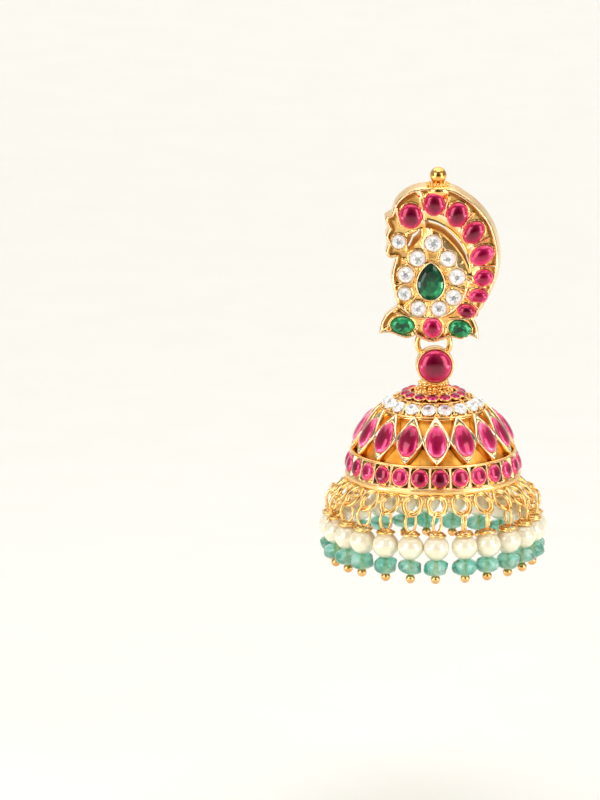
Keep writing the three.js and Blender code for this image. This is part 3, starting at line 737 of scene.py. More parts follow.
# The leaves' veins, from end to end in shares of the height.
LEAF_RIDGES = [((-0.300, -0.385), (-0.255, -0.345)), ((0.287, -0.412), (0.25, -0.385)),
               ((-0.115, -0.405), (-0.075, -0.36)), ((0.095, -0.40), (0.10, -0.36)),
               ((-0.235, -0.262), (-0.13, -0.30)), ((0.245, -0.302), (0.12, -0.31))]


def bars_between(points, places, hub, reach, crest, widths):
    """Sharp bars that part neighbouring stones, each pointing away from a hub."""
    height = np.full(len(points), -np.inf)
    for one, two in zip(places[:-1], places[1:]):
        middle = (np.array(one) + two) / 2
        out = (middle - hub) / np.linalg.norm(middle - hub)
        bar = ridge(points, middle - reach[0] * out, middle + reach[1] * out, crest, *widths)
        height = np.maximum(height, bar)
    return height


def field_height(points, outline, gaps, turn):
    """The rim, the sunk field and its channel, the slopes and lips at the gaps, and the long line."""
    edge = polyline_distance(points, outline)
    rim = np.where(edge < RIM_HALF,
                   RIM_RISE * np.sqrt(np.clip(1 - 0.75 * ((RIM_HALF - edge) / RIM_HALF) ** 2, 0, 1)),
                   RIM_RISE * np.clip(1 - ((edge - RIM_HALF) / 0.26), 0, 1) ** 0.7)
    outer = np.clip((edge - 0.42) / 0.15, 0, 1) * np.clip((1.25 - edge) / 0.3, 0, 1)
    outer *= np.clip((turn + 55) / 8, 0, 1) * np.clip((150 - turn) / 8, 0, 1)
    sink = FIELD_SINK * np.clip((edge - 0.4) / 0.25, 0, 1)
    height = rim - sink - (CHANNEL_DEPTH - FIELD_SINK) * outer
    from_gaps = [polyline_distance(points, gap) for gap in gaps]
    for away in from_gaps:
        slope = (turn > -60) & (turn < 120) & (away < 1.5) & (edge > 1.6)
        height = np.where(slope, 0.3 * away, height)
    line = np.array(spline(CLUSTER_LINE, 8)) * STUD_HEIGHT
    away = polyline_distance(points, line, closed=False)
    height = np.maximum(height, 0.4 * np.clip(1 - away / 0.34, 0, 1) ** 0.7)
    height = np.where((away > 0.34) & (away < 0.75) & (turn < -15), np.minimum(height, -0.35), height)
    for away in from_gaps:
        height = np.maximum(height, 0.2 * np.clip(1 - away / 0.26, 0, 1) ** 0.6)
    return height


def face_height(points, outline, gaps):
    """How far the relief stands in front of the field, in millimetres."""
    turn = np.degrees(np.arctan2(points[:, 1] - CRESCENT_HUB[1], points[:, 0] - CRESCENT_HUB[0]))
    height = field_height(points, outline, gaps, turn)
    places = [row[1:3] for row in CRESCENT]
    bars = bars_between(points, places, CRESCENT_HUB, (1.5, 1.9), CRESCENT_CREST, (0.45, 0.17))
    height = np.maximum(height, bars)
    for foot, low, high, crest, widths in HEAD_RIDGES:
        foot = np.array(foot) * STUD_HEIGHT
        height = np.maximum(height, ridge(points, foot + low, foot + high, crest, *widths))
    whites = [oval_distance(points, x, z, size, size, 0) for x, z, size in WHITES]
    for away in whites:
        height = np.where((away > 0.18) & (away < 0.5) & (height < 0.1), GROOVE, height)
    away = oval_distance(points, *PEAR, 0)
    height = np.where((away > 0.5) & (away < 0.85) & (height < 0.1), GROOVE, height)
    places = [row[:2] for row in WHITES[:9] + WHITES[:1]]
    bars = bars_between(points, places, PEAR[:2], (1.25, 1.6), CELL_CREST, (0.22, 0.42))
    height = np.maximum(height, bars)
    for away in whites:
        height = np.maximum(height, bump_ring(away, 0.28, -0.05, 0.2))
        height = np.where(away < 0, -0.15, height)
    for rows, collet in ((CRESCENT, (0.26, -0.06, 0.22)), (FOOT_STONES, (0.24, -0.05, 0.32))):
        for _, *oval in rows:
            away = oval_distance(points, *oval)
            height = np.maximum(height, bump_ring(away, *collet))
            height = np.where(away < -0.02, SEAT, height)
    drop = pear(*PEAR[2:], 90) + PEAR[:2]
    away = polyline_distance(points, drop)
    within = inside(points, drop)
    wall = np.where(within, 0, 0.5 * np.clip(1 - ((away - 0.2) / 0.26) ** 2, 0, 1))
    height = np.maximum(height, wall)
    height = np.where(within & (away > 0.03), SEAT, height)
    for start, end in np.array(LEAF_RIDGES) * STUD_HEIGHT:
        height = np.maximum(height, ridge(points, start, end, 0.34, 0.4, 0.2))
    return height


def outlined(loops):
    """The points of several closed lines, one after another, and the edges that join them."""
    points, edges = [], []
    for loop in loops:
        first, count = len(points), len(loop)
        points += loop.tolist()
        edges += [(first + k, first + (k + 1) % count) for k in range(count)]
    return points, edges


def filled(points, edges, gaps):
    """Points and triangles of a flat field that leaves the gaps open."""
    found, _, faces, *_ = delaunay_2d_cdt([Vector(p) for p in points], edges, [], 1, 1e-7)
    found = np.array([tuple(v) for v in found])
    centres = np.array([found[list(face)].mean(0) for face in faces])
    hollow = np.zeros(len(faces), bool)
    for gap in gaps:
        hollow |= inside(centres, gap)
    return found, [face for face, gone in zip(faces, hollow) if not gone]


def faced(shape, forward):
    """The field with its faces turned to the front, or to the back."""
    a, b, c = (shape.verts[index] for index in shape.faces[0][:3])
    if (np.cross(b - a, c - a)[1] < 0) != forward:
        shape.faces = [tuple(reversed(face)) for face in shape.faces]
    return shape


def stud_plate():
    """The stud's face relief, drafted walls, inner walls of the gaps and flat back, in one skin."""
    outline = closed_outline(STUD_STRETCHES, 12)
    gaps = [closed_outline(stretches, 10) for stretches in STUD_GAPS]
    spacing = 0.13
    xs = np.arange(outline[:, 0].min(), outline[:, 0].max(), spacing)
    zs = np.arange(outline[:, 1].min(), outline[:, 1].max(), spacing * 0.866)
    grid = np.array([(x + (row % 2) * spacing / 2, z) for row, z in enumerate(zs) for x in xs])
    keep = inside(grid, outline) & (polyline_distance(grid, outline) > spacing * 0.55)
    for gap in gaps:
        keep &= ~inside(grid, gap) & (polyline_distance(grid, gap) > spacing * 0.55)
    loops = [outline, *gaps]
    points, edges = outlined(loops)
    found, faces = filled(points + grid[keep].tolist(), edges, gaps)
    height = face_height(found, outline, gaps)
    front = np.stack([found[:, 0], FIELD_Y - height, found[:, 1]], 1)
    # Painted shade and highlight: tone above 0 browns sunk parts and the outer channel, tone below 0 pales
    # raised parts.
    dark = np.clip((-height - 0.05) / 0.2, 0, 1) - 0.6 * np.clip((height - 0.15) / 0.15, 0, 1)
    edge = polyline_distance(found, outline)
    channel = np.clip((edge - 0.3) / 0.1, 0, 1) * np.clip((1.1 - edge) / 0.3, 0, 1)
    dark = np.where(height < 0.22, np.maximum(dark, 0.85 * channel), dark)
    shape = faced(Shape(front, faces), True)
    shape.tones = [tuple(dark[index] for index in face) for face in shape.faces]
    shapes = [shape]
    for loop in loops:
        shapes.append(plate_wall(loop, loop is outline, outline, gaps))
    shapes.append(plate_back(outline, gaps))
    return joined(shapes)


def back_depth(z):
    """The back's y: flat, then stepped forward behind the foot."""
    return np.where(z > FOOT_RECESS_TOP, 0.0, FOOT_PLATE - STUD_DEPTH)


def drafted_back(loop, outer):
    """A line as it stands on the stud's back: the outline grows, the gaps close in a little."""
    if outer:
        share = (back_depth(loop[:, 1]) + STUD_DEPTH) / STUD_DEPTH
        return loop * (1 + (STUD_DRAFT - 1) * share)[:, None]
    along = np.roll(loop, -3, 0) - np.roll(loop, 3, 0)
    inward = np.stack([along[:, 1], -along[:, 0]], 1) / np.linalg.norm(along, axis=1)[:, None]
    if not inside(loop[:1] + 0.1 * inward[:1], loop)[0]:
        inward = -inward
    room = np.full(len(loop), 1e9)
    for k, point in enumerate(loop):
        reach = (loop - point) @ inward[k]
        side = np.abs((loop - point) @ np.array([-inward[k][1], inward[k][0]]))
        facing = (side < 0.35) & (reach > 0.2)
        room[k] = reach[facing].min() if facing.any() else 0.0
    return loop + inward * np.minimum(STUD_GAP_DRAFT, 0.42 * room)[:, None]


# Each wall's rows: the share of its depth and of its draft.
OUTER_WALL = [(0.0, 0.0), (0.06, 0.12), (0.2, 0.3), (1.0, 1.0)]
GAP_WALL = [(0.0, 0.0), (0.3, 0.3), (1.0, 1.0)]


def plate_wall(loop, outer, outline, gaps):
    """The wall under one closed line: rounded at the face, then drafted to the back."""
    top = FIELD_Y - face_height(loop, outline, gaps)
    back = back_depth(loop[:, 1])
    far = drafted_back(loop, outer)
    rings = []
    for share, spread in (OUTER_WALL if outer else GAP_WALL):
        y = top + (back - top) * share
        place = loop + (far - loop) * spread
        rings.append(np.stack([place[:, 0], y, place[:, 1]], 1))
    shape = strip(rings, closed_ends=False)
    x, z = loop[:, 0], loop[:, 1]
    area = np.sum(x * np.roll(z, -1) - np.roll(x, -1) * z)
    if (area > 0) == outer:
        shape.faces = [tuple(reversed(face)) for face in shape.faces]
    # Painted reflection: the outer wall's tone of -0.5 pales it; the gap walls take the lit copy of the gold
    # in slot 1.
    shape.tones = [-0.5 if outer else 0.0] * len(shape.faces)
    return shape if outer else shape.with_slot(1)


def plate_back(outline, gaps):
    """The flat back, cut into an upper and a stepped lower field."""
    drafted = drafted_back(outline, True)
    gaps = [drafted_back(gap, False) for gap in gaps]
    points, edges = outlined([drafted, *gaps])
    left, right = drafted[:, 0].min(), drafted[:, 0].max()
    for z in (FOOT_RECESS_TOP + 0.01, FOOT_RECESS_TOP - 0.01):
        first = len(points)
        row = [(x, z) for x in np.arange(left, right, 0.5)]
        row = [p for p, ok in zip(row, inside(np.array(row), drafted * 0.999)) if ok]
        points += row
        edges += [(first + k, first + k + 1) for k in range(len(row) - 1)]
    found, faces = filled(points, edges, gaps)
    verts = np.stack([found[:, 0], back_depth(found[:, 1]), found[:, 1]], 1)
    return faced(Shape(verts, faces, smooth=False), False)


def finial():
    """The ball on its ring of small grains, over a turned base that runs into the stud's top."""
    base = lathe([(0.001, -2.0), (1.7, -2.0), (2.15, -1.0), (2.15, -0.55), (1.9, -0.25), (1.6, -0.15),
                  (1.55, 0.2), (1.2, 0.45), (0.6, 0.6), (0.001, 0.65)], 40)
    grains = [ball(0.27, 1.0, 12).shifted(*around(turn, 1.62, 0.22)) for turn in turns(20)]
    shapes = [joined([base, *grains]).moved(Matrix.Diagonal((0.96, 0.78, 1, 1)))]
    shapes.append(ball(FINIAL_BALL, 1.0, 36).shifted(0, 0, 1.5))
    return joined(shapes).shifted(FINIAL_X, -STUD_DEPTH / 2, FINIAL_Z)


def link_loop(x, y, z):
    return wire(oval_path(2 * LOOP_MEAN, 2 * LOOP_MEAN), LOOP_WIRE / 2, 14).turned(90, "Z").shifted(x, y, z)


def pear_painted_light(middle, width, height):
    """Painted light on the emerald: dark facets at its upper left, bright ones at its lower right."""
    slant = 0.9 * middle[0] / width - 0.8 * middle[2] / height
    return min(1.0, max(0.0, 0.35 + slant + RNG.uniform(-0.3, 0.3)))


def build_stud():
    gold = joined([stud_plate(), finial(), link_loop(RING_X, RING_Y, RING_TOP_Z)])
    piece("stud_gold", gold, [FOIL, SIDE_GOLD_LIT], "stud", "gold", "stud_body")
    whites, seats = [], []
    for x, z, size in WHITES:
        turn = RNG.uniform(0, 40)
        stone = cut_stone(size * 0.97, size * 0.97, FIELD_Y + 0.1, -STUD_DEPTH + 0.12, 0.62, turn)
        whites.append(stone.shifted(x, 0, z))
        seat = face_loft(ellipse(size, size, 24), [(FIELD_Y + 0.16, 0.9), (FIELD_Y + 0.11, 0.98)])
        seats.append(seat.shifted(x, 0, z))
    piece("stud_white_stones", joined(whites), [WHITE], "stud", "white_stone")
    piece("stud_white_foil", joined(seats), [SILVER_FOIL], "stud", "gold")
    for node, x, z, long, short, turn in CRESCENT + FOOT_STONES:
        if "ruby" in node:
            rise = 0.85 if node == "base_ruby" else 0.95
            outline = ellipse(long, short, 44, turn)
            stone = cabochon(outline, FIELD_Y + 0.28, -STUD_DEPTH + 0.05, rise)
            material, slot = (RUBY_PINK if node in PINK_RUBIES else RUBY), "ruby"
        else:
            stone = cut_stone(long, short, FIELD_Y + 0.28, -STUD_DEPTH + 0.02, 0.5, turn)
            material, slot = EMERALD, "emerald"
        piece(f"stone_{node}", stone.shifted(x, 0, z), [material], "stud", slot, node)
    x, z, width, height = PEAR
    levels = [(FIELD_Y + 0.28, 0.8), (-STUD_DEPTH + 0.08, 1.0), (-STUD_DEPTH - 0.02, 1.0),
              (-STUD_DEPTH - 0.3, 0.82), (-STUD_DEPTH - 0.42, 0.62), (-STUD_DEPTH - 0.43, 0.3)]
    stone = face_loft(pear(width, height, 16), levels)
    stone.smooth = [False] * len(stone.faces)
    stone.tones = [pear_painted_light(stone.verts[list(face)].mean(0), width, height) for face in stone.faces]
    piece("stone_pear_emerald", stone.shifted(x, 0, z), [EMERALD], "stud", "emerald", "pear_emerald")
    rows = [(0.001, 0), (1.2, 0), (1.2, 0.3), (POST_RADIUS, 0.36), (POST_RADIUS, POST_LENGTH - 0.5),
            (POST_RADIUS * 0.8, POST_LENGTH - 0.2), (0.001, POST_LENGTH)]
    post = lathe(rows, 32).turned(-90, "X").shifted(0, -0.35, 0)
    collar = hoop(round_section(POST_RADIUS - 0.01, POST_COLLAR, 0.07, 0.25), 32).turned(-90, "X")
    piece("post_fine", joined([post, collar]), [GOLD], "stud", "gold", "ear_post")


def build_link():
    ring = wire(oval_path(2 * RING_MEAN, 2 * RING_MEAN, 96), RING_WIRE / 2, 20)
    ring = ring.shifted(RING_X, RING_Y, RING_TOP_Z - RING_MEAN)
    piece("link_ring_fine", ring, [WIRE], "link", "gold", "link_ring")


WAIST_ANGLE = dome_angle(BAND_WAIST_Z)
TOP_ANGLE = dome_angle(BAND_TOP_Z + 0.1)
BOTTOM_ANGLE = dome_angle(BAND_BOTTOM_Z - 0.15)
HALF_SECTOR = 180.0 / LOZENGE_COUNT
LOZENGE_POWER = 1.16
FRAME_REACH = 1.05
RUBY_POWER = 2.0
RUBY_ACROSS = 0.69
RUBY_ALONG = 0.64
RUBY_DROP = -0.06
RECESS_DRAFT = 1.22


def band_point(u, v, lift):
    """A point of the pierced band: u and v run from -1 to 1 between a lozenge's corners."""
    angle = WAIST_ANGLE + v * ((TOP_ANGLE - WAIST_ANGLE) if v > 0 else (WAIST_ANGLE - BOTTOM_ANGLE))
    radius, z, slope = dome_at(angle)
    turn = math.radians(u * HALF_SECTOR)
    return around(turn, radius + lift * math.cos(slope), z + lift * math.sin(slope))


def rounded_diamond(across, along, power, sides):
    t = turns(sides)
    x = across * np.sign(np.cos(t)) * np.abs(np.cos(t)) ** (2 / power)
    z = along * np.sign(np.sin(t)) * np.abs(np.sin(t)) ** (2 / power)
    return np.stack([x, z], 1)


def band_rings(levels):
    """Rings on the pierced band for (outline, lift) levels, where a lift is one or one a point."""
    rings = []
    for outline, lifts in levels:
        lifts = np.broadcast_to(lifts, len(outline))
        rings.append(np.array([band_point(u, v, lift) for (u, v), lift in zip(outline, lifts)]))
    return rings


def lozenge_box():
    """A deep-walled frame with a flat edge, small notches at its tips and a seat, with painted highlight on
    the edge and the collet and painted shade on the inner wall, in the valley and in the seat.
    """
    sides = 64
    frame_line = rounded_diamond(FRAME_REACH, 1.0, LOZENGE_POWER, sides)
    stone = rounded_diamond(RUBY_ACROSS, RUBY_ALONG, RUBY_POWER, sides) + (0, RUBY_DROP)
    inner = frame_line * 0.8
    collet = stone * 1.07
    tight = np.hypot(*inner.T) < np.hypot(*collet.T)
    middle = (frame_line * 0.985 + stone) / 2
    inner = np.where(tight[:, None], middle, inner)
    collet = np.where(tight[:, None], middle, collet)
    valley = (inner + collet) / 2
    sunk = 0.4 - np.minimum(0.45, 5.0 * np.hypot(*(inner - collet).T))
    levels = [(frame_line * RECESS_DRAFT, -DOME_WALL), (frame_line, 0.25), (frame_line * 0.975, 0.4),
              (inner, 0.4), (valley, sunk), (collet, 0.42), (stone, 0.34), (stone * 0.985, -0.1)]
    # Painted shade where the tone is above 0 and painted highlight where it is below 0, ring by ring.
    return ring_toned(strip(band_rings(levels)), [0.6, -0.1, -0.8, -0.8, 0.3, -0.6, 0.0, 1.0])


def band_ruby():
    middle = np.array([0, RUBY_DROP])
    stone = rounded_diamond(RUBY_ACROSS * 0.985, RUBY_ALONG * 0.985, RUBY_POWER, 48)
    levels = [(0.97, -0.05), (1.0, 0.36)]
    for k in range(1, 10):
        angle = k / 9 * math.pi / 2 * 0.985
        levels.append((math.cos(angle) ** 0.85, 0.36 + 0.55 * math.sin(angle)))
    rings = band_rings([(stone * scale + middle, lift) for scale, lift in levels])
    return toned_crown(strip(rings), [scale for scale, _ in levels])


def dome_shell(low, high, steps, depth, sides):
    """A curved wall between two angles of the dome, from a depth under its face to its inside."""
    outer, inner = [], []
    for k in range(steps + 1):
        radius, z, slope = dome_at(low + (high - low) * k / steps)
        for rows, sunk in ((outer, depth), (inner, DOME_WALL)):
            rows.append((radius - sunk * math.cos(slope), z - sunk * math.sin(slope)))
    return hoop(outer + inner[::-1], sides)


def band_floor():
    """The floor of the recesses between the lozenges, and the bell's inside behind it."""
    low, high = dome_angle(BAND_BOTTOM_Z - 0.9), dome_angle(BAND_TOP_Z + 0.3)
    return dome_shell(low, high, 14, RECESS_DEPTH, 128)


def rim_point(x, z, lift):
    """A point proud of the tapered rim band by lift, at a way round it and a height."""
    radius = RIM_RADIUS - RIM_TAPER * (z - RIM_BOTTOM_Z) / (RIM_TOP_Z - RIM_BOTTOM_Z) + lift
    return around(x / RIM_RADIUS, radius, z)


def rim_cell():
    """A square cell of the rim: raised dividers with painted highlight, sunk slots with painted shade, and a
    collet round the stone.
    """
    sides = 56
    half_width = math.pi * RIM_RADIUS / RIM_STONES
    half_height = (RIM_TOP_Z - RIM_BOTTOM_Z) / 2
    t = turns(sides, 0.5)
    c, s = np.cos(t), np.sin(t)
    reach = 1 / np.maximum(np.abs(c) / half_width, np.abs(s) / half_height)
    cell = np.stack([reach * c, reach * s], 1)
    whole, edged, topped, slotted = (
        np.stack([np.clip(cell[:, 0], gap - half_width, half_width - gap),
                  np.clip(cell[:, 1], gap - half_height, half_height - gap)], 1)
        for gap in (0.0, 0.04, 0.15, 0.19))
    stone = np.stack([RIM_RUBY_WIDTH / 2 * c, RIM_RUBY_HEIGHT / 2 * s], 1)
    levels = [(whole, -DOME_WALL), (whole, 0.12), (edged, 0.16), (topped, 0.14), (slotted, -0.5),
              (stone * 1.1, -0.5), (stone * 1.07, 0.04), (stone, 0.02), (stone * 0.99, -0.3)]
    rings = []
    for outline, lift in levels:
        rings.append(np.array([rim_point(x, z + RIM_MIDDLE_Z, lift) for x, z in outline]))
    # Painted shade on the inner wall, in the slots and in the seat; painted highlight on the dividers and
    # the collet.
    return ring_toned(strip(rings), [0.5, -0.3, -0.6, -0.6, 0.9, 0.9, -0.3, 0.0, 1.0])


def rim_ruby():
    stone = ellipse(RIM_RUBY_WIDTH * 0.985, RIM_RUBY_HEIGHT * 0.985, 36)
    rings = []
    levels = [(0.97, -0.28), (1.0, 0.02)]
    levels += [(math.cos(k / 8 * 1.55) ** 0.85, 0.02 + 0.62 * math.sin(k / 8 * 1.55)) for k in range(1, 9)]
    for scale, lift in levels:
        rings.append(np.array([rim_point(x * scale, z * scale + RIM_MIDDLE_Z, lift) for x, z in stone]))
    return toned_crown(strip(rings), [scale for scale, _ in levels])


def crown_shell():
    """The closed top of the dome, between the neck and the pierced band."""
    low, high = dome_angle(BAND_TOP_Z - 0.1), math.acos(DOME_TOP_RADIUS * 0.7 / DOME_RADIUS)
    return dome_shell(low, high, 12, 0.2, 96)


def rail(radius, z, half_width, half_height, wave=None):
    return hoop(round_section(radius, z, half_width, half_height), 120, wave)


def dome_ring(z, lift, thickness):
    """A round wire laid on the dome at a height."""
    reach = -dome_point(0, z, lift)[1]
    return rail(reach, dome_point(0, z, lift)[2], thickness, thickness)


def crown_gold():
    """The dome's top: its shell, rails, wires and grains between the white stones, and collets."""
    shapes = [crown_shell(), dome_ring(BAND_TOP_Z + 0.02, 0.05, 0.16), dome_ring(TOP_RAIL_Z, -0.02, 0.14)]
    half = 180 / WHITE_COUNT
    for k in range(WHITE_COUNT):
        turn = WHITE_PHASE + (2 * k + 1) * half
        heights = np.linspace(WHITE_TOP_Z, BAND_TOP_Z + 0.2, 7)
        path = [dome_point(turn, z, 0.08) for z in heights]
        shapes.append(wire(path, 0.16, 8, closed=False))
        for z, side in GRAIN_PLACES:
            grain = ball(RNG.uniform(0.19, 0.25), 1.0, 10)
            shapes.append(grain.shifted(*dome_point(turn + side, z, 0.16)))
    for k in range(TOP_STONES):
        collet = wire(oval_path(1.85, 1.6, 28), 0.15, 8)
        shapes.append(on_dome(collet, TOP_RING_Z, 0.08).turned(TOP_PHASE + 360 * k / TOP_STONES, "Z"))
    return shapes


def crown_stones():
    rubies, whites = [], []
    for k in range(TOP_STONES):
        stone = cabochon(ellipse(1.75, 1.5, 24), 0.2, -0.12, 0.5, 6)
        turn = TOP_PHASE + 360 * k / TOP_STONES + RNG.uniform(-1, 1)
        rubies.append(on_dome(stone, TOP_RING_Z).turned(turn, "Z"))
    for k in range(WHITE_COUNT):
        stone = cut_stone(2.35, 2.15, 0.15, -0.15, 0.45, RNG.uniform(-8, 8))
        turn = WHITE_PHASE + 360 * k / WHITE_COUNT
        whites.append(on_dome(stone, WHITE_Z).turned(turn + RNG.uniform(-0.6, 0.6), "Z"))
    return rubies, whites


# Rings of grains on the neck: how many, their reach, height and size.
GRAIN_ROWS = [(17, 2.1, -17.62, 0.38), (15, 1.95, -18.2, 0.33), (18, 2.3, -18.6, 0.33),
              (22, 2.85, -18.88, 0.3)]


def neck_gold():
    """Stem, beaded collar and the uneven granulated cone under it."""
    core = lathe([(0.001, -19.4), (3.3, -19.3), (3.0, -18.95), (1.9, -18.5), (1.7, -18.1), (2.0, -17.95),
                  (2.2, -17.7), (2.0, -17.4), (1.3, -17.3), (1.15, -16.9), (1.2, -16.0), (0.001, -15.8)], 48)
    shapes = [core]
    for count, radius, z, size in GRAIN_ROWS:
        for k in range(count):
            turn = 2 * math.pi * (k + RNG.uniform(-0.15, 0.15)) / count
            reach = radius + RNG.uniform(-0.08, 0.08)
            grain = ball(size * RNG.uniform(0.8, 1.1), RNG.uniform(0.85, 1.1), 12)
            shapes.append(grain.shifted(*around(turn, reach, z + RNG.uniform(-0.1, 0.1))))
    for k in range(26):
        turn, z = RNG.uniform(0, 2 * math.pi), RNG.uniform(-18.75, -18.0)
        reach = 1.8 + 0.6 * max(0, -18.3 - z) + RNG.uniform(0, 0.25)
        shapes.append(ball(RNG.uniform(0.14, 0.24), 1.0, 10).shifted(*around(turn, reach, z)))
    return shapes


def bezel_gold():
    """The round box that holds the connector ruby, with a rolled front edge, and its soldered loop."""
    radius = BEZEL_OUTER / 2
    front = BEZEL_DEPTH
    rows = [(0.001, 0), (radius * 0.95, 0), (radius, 0.25), (radius * 0.98, 0.5), (radius * 0.97, 1.6),
            (radius, front - 0.2), (radius - 0.1, front + 0.02), (radius - 0.24, front + 0.04),
            (radius - BEZEL_WALL, front - 0.15), (radius - BEZEL_WALL - 0.03, front - 0.85),
            (0.001, front - 0.9)]
    box = lathe(rows, 72).turned(90, "X").shifted(0, BEZEL_BACK_Y, BEZEL_Z)
    return [box, link_loop(0, 0, RING_BOTTOM_Z)]


def hanger():
    """A double wire loop that flares out from under the flange."""
    outer = wire(oval_path(2 * HANGER_MEAN, 2 * HANGER_REACH, 44), HANGER_WIRE / 2, 10)
    inner = wire(oval_path(2 * HANGER_MEAN - 0.72, 2 * HANGER_REACH - 0.85, 36), 0.18, 8)
    shape = joined([outer, inner.shifted(0, 0.1, 0.12)]).turned(-math.degrees(HANGER_TILT), "X")
    return shape.shifted(0, -HANGER_TOP_R - HANGER_REACH * math.sin(HANGER_TILT),
                         HANGER_TOP_Z - HANGER_REACH * math.cos(HANGER_TILT))


def hanger_joint():
    """The web between two loops: a strut from the flange and a bar at the loops' waist."""
    half = math.pi / DROP_COUNT
    reach = HANGER_TOP_R + HANGER_REACH * math.sin(HANGER_TILT)
    waist = np.array([0, -reach, HANGER_TOP_Z - HANGER_REACH * math.cos(HANGER_TILT)])
    bar = wire([waist + (-0.34, 0.02, 0), waist, waist + (0.34, 0.02, 0)], 0.2, 8, closed=False)
    top = np.array([0, -HANGER_TOP_R + 0.1, FLANGE_Z + 0.05])
    foot = waist * 0.62 + top * 0.38
    path = [top + (0, 0, 0.1), (top + foot) / 2 + (0, -0.08, 0), foot, waist]
    return joined([bar, wire(path, 0.17, 8, closed=False)]).turned(math.degrees(half), "Z")


def wavy(turn):
    """How far the hand-bent flange wanders in and out."""
    return 0.05 * math.sin(7 * turn) + 0.04 * math.sin(17 * turn + 1)


def rim_gold():
    """The rim's cells, its rails and the turned flange under it."""
    shapes = repeated(rim_cell(), RIM_STONES, 0.0)
    shapes.append(rail(RIM_RADIUS - RIM_TAPER - 0.1, RIM_TOP_Z + 0.05, 0.38, 0.2))
    shapes.append(rail(RIM_RADIUS - 0.02, RIM_BOTTOM_Z - 0.08, 0.3, 0.2, wavy))
    flange = [(RIM_RADIUS - DOME_WALL, RIM_BOTTOM_Z + 0.3), (RIM_RADIUS - 0.25, RIM_BOTTOM_Z + 0.3),
              (RIM_RADIUS + 0.02, RIM_BOTTOM_Z - 0.2), (RIM_RADIUS - 0.02, RIM_BOTTOM_Z - 0.7),
              (FLANGE_RADIUS, FLANGE_Z + 0.12), (FLANGE_RADIUS - 0.1, FLANGE_Z),
              (FLANGE_RADIUS - 0.9, FLANGE_Z), (FLANGE_RADIUS - 1.1, FLANGE_Z + 0.3)]
    shapes.append(hoop(flange, 144, wavy))
    shapes.append(rail(FLANGE_RADIUS - 0.05, FLANGE_Z + 0.12, 0.16, 0.14))
    return shapes


def build_dome():
    boxes = repeated(lozenge_box(), LOZENGE_COUNT, LOZENGE_PHASE)
    shapes = [*boxes, *crown_gold(), *neck_gold(), *bezel_gold(), *rim_gold()]
    shapes = [joined(shapes).with_slot(0), band_floor().with_slot(1)]
    piece("dome_gold", to_drop(joined(shapes)), [GOLD, FLOOR_GOLD_SHADED], "drop", "gold", "dome")
    loops = repeated(hanger(), DROP_COUNT, DROP_PHASE) + repeated(hanger_joint(), DROP_COUNT, DROP_PHASE)
    piece("dome_hangers", to_drop(joined(loops)), [WIRE], "drop", "gold")
    rubies, whites = crown_stones()
    piece("dome_top_rubies", to_drop(joined(rubies)), [RUBY], "drop", "ruby")
    piece("dome_white_stones", to_drop(joined(whites)), [WHITE], "drop", "white_stone")
    bands = varied(repeated(band_ruby(), LOZENGE_COUNT, LOZENGE_PHASE), -0.25, 0.3)
    piece("dome_lozenge_rubies", to_drop(joined(bands)), [RUBY_PINK], "drop", "ruby")
    rims = varied(repeated(rim_ruby(), RIM_STONES, 0.0), -0.1, 0.5)
    piece("dome_rim_rubies", to_drop(joined(rims)), [RUBY], "drop", "ruby")
    outline = ellipse(BEZEL_OUTER - 2 * BEZEL_WALL - 0.04, (BEZEL_OUTER - 2 * BEZEL_WALL) * 0.985, 64)
    stone = cabochon(outline, BEZEL_FRONT_Y + 0.8, BEZEL_FRONT_Y + 0.06, 1.15, 14).shifted(0, 0, BEZEL_Z)
    piece("stone_connector_ruby", to_drop(stone), [RUBY], "drop", "ruby", "connector_ruby")


def pebble(width, height, seed):
    """A tumbled bead: a ball flattened along the line it is strung on, with a few soft lumps."""
    lumps = random.Random(seed)
    waves = [(lumps.uniform(0.02, 0.06), lumps.choice((1, 2, 3)), lumps.uniform(0, 6.28),
              lumps.choice((1, 2))) for _ in range(4)]
    shape = ball(1.0, 1.0, 30)
    unit = shape.verts / np.linalg.norm(shape.verts, axis=1)[:, None]
    turn = np.arctan2(unit[:, 0], -unit[:, 1])
    swell = 1 + sum(size * np.sin(count * turn + start + rise * 2 * unit[:, 2])
                    for size, count, start, rise in waves)
    flat = np.sign(unit[:, 2]) * np.abs(unit[:, 2]) ** 0.75
    wide = np.hypot(unit[:, 0], unit[:, 1])[:, None] ** 0.8
    shape.verts = np.concatenate([unit[:, :2] / np.maximum(np.hypot(*unit[:, :2].T), 1e-6)[:, None] * wide
                                  * width / 2 * swell[:, None], (flat * height / 2)[:, None]], 1)
    return shape


def wound_cap(radius, z, seed):
    """A wire wound a little over one and a half times, which rests on the pearl."""
    odd = random.Random(seed)
    start, lean = odd.uniform(0, 6.28), odd.uniform(-0.1, 0.1)
    path = []
    for k in range(46):
        t = k / 45
        a = start + t * 2 * math.pi * 1.65
        reach = radius * (0.5 + 0.5 * min(1, 2.2 * t))
        path.append((reach * math.cos(a), reach * math.sin(a), z + 0.3 - 0.42 * t + lean * math.cos(a)))
    return wire(path, 0.2, 8, closed=False)


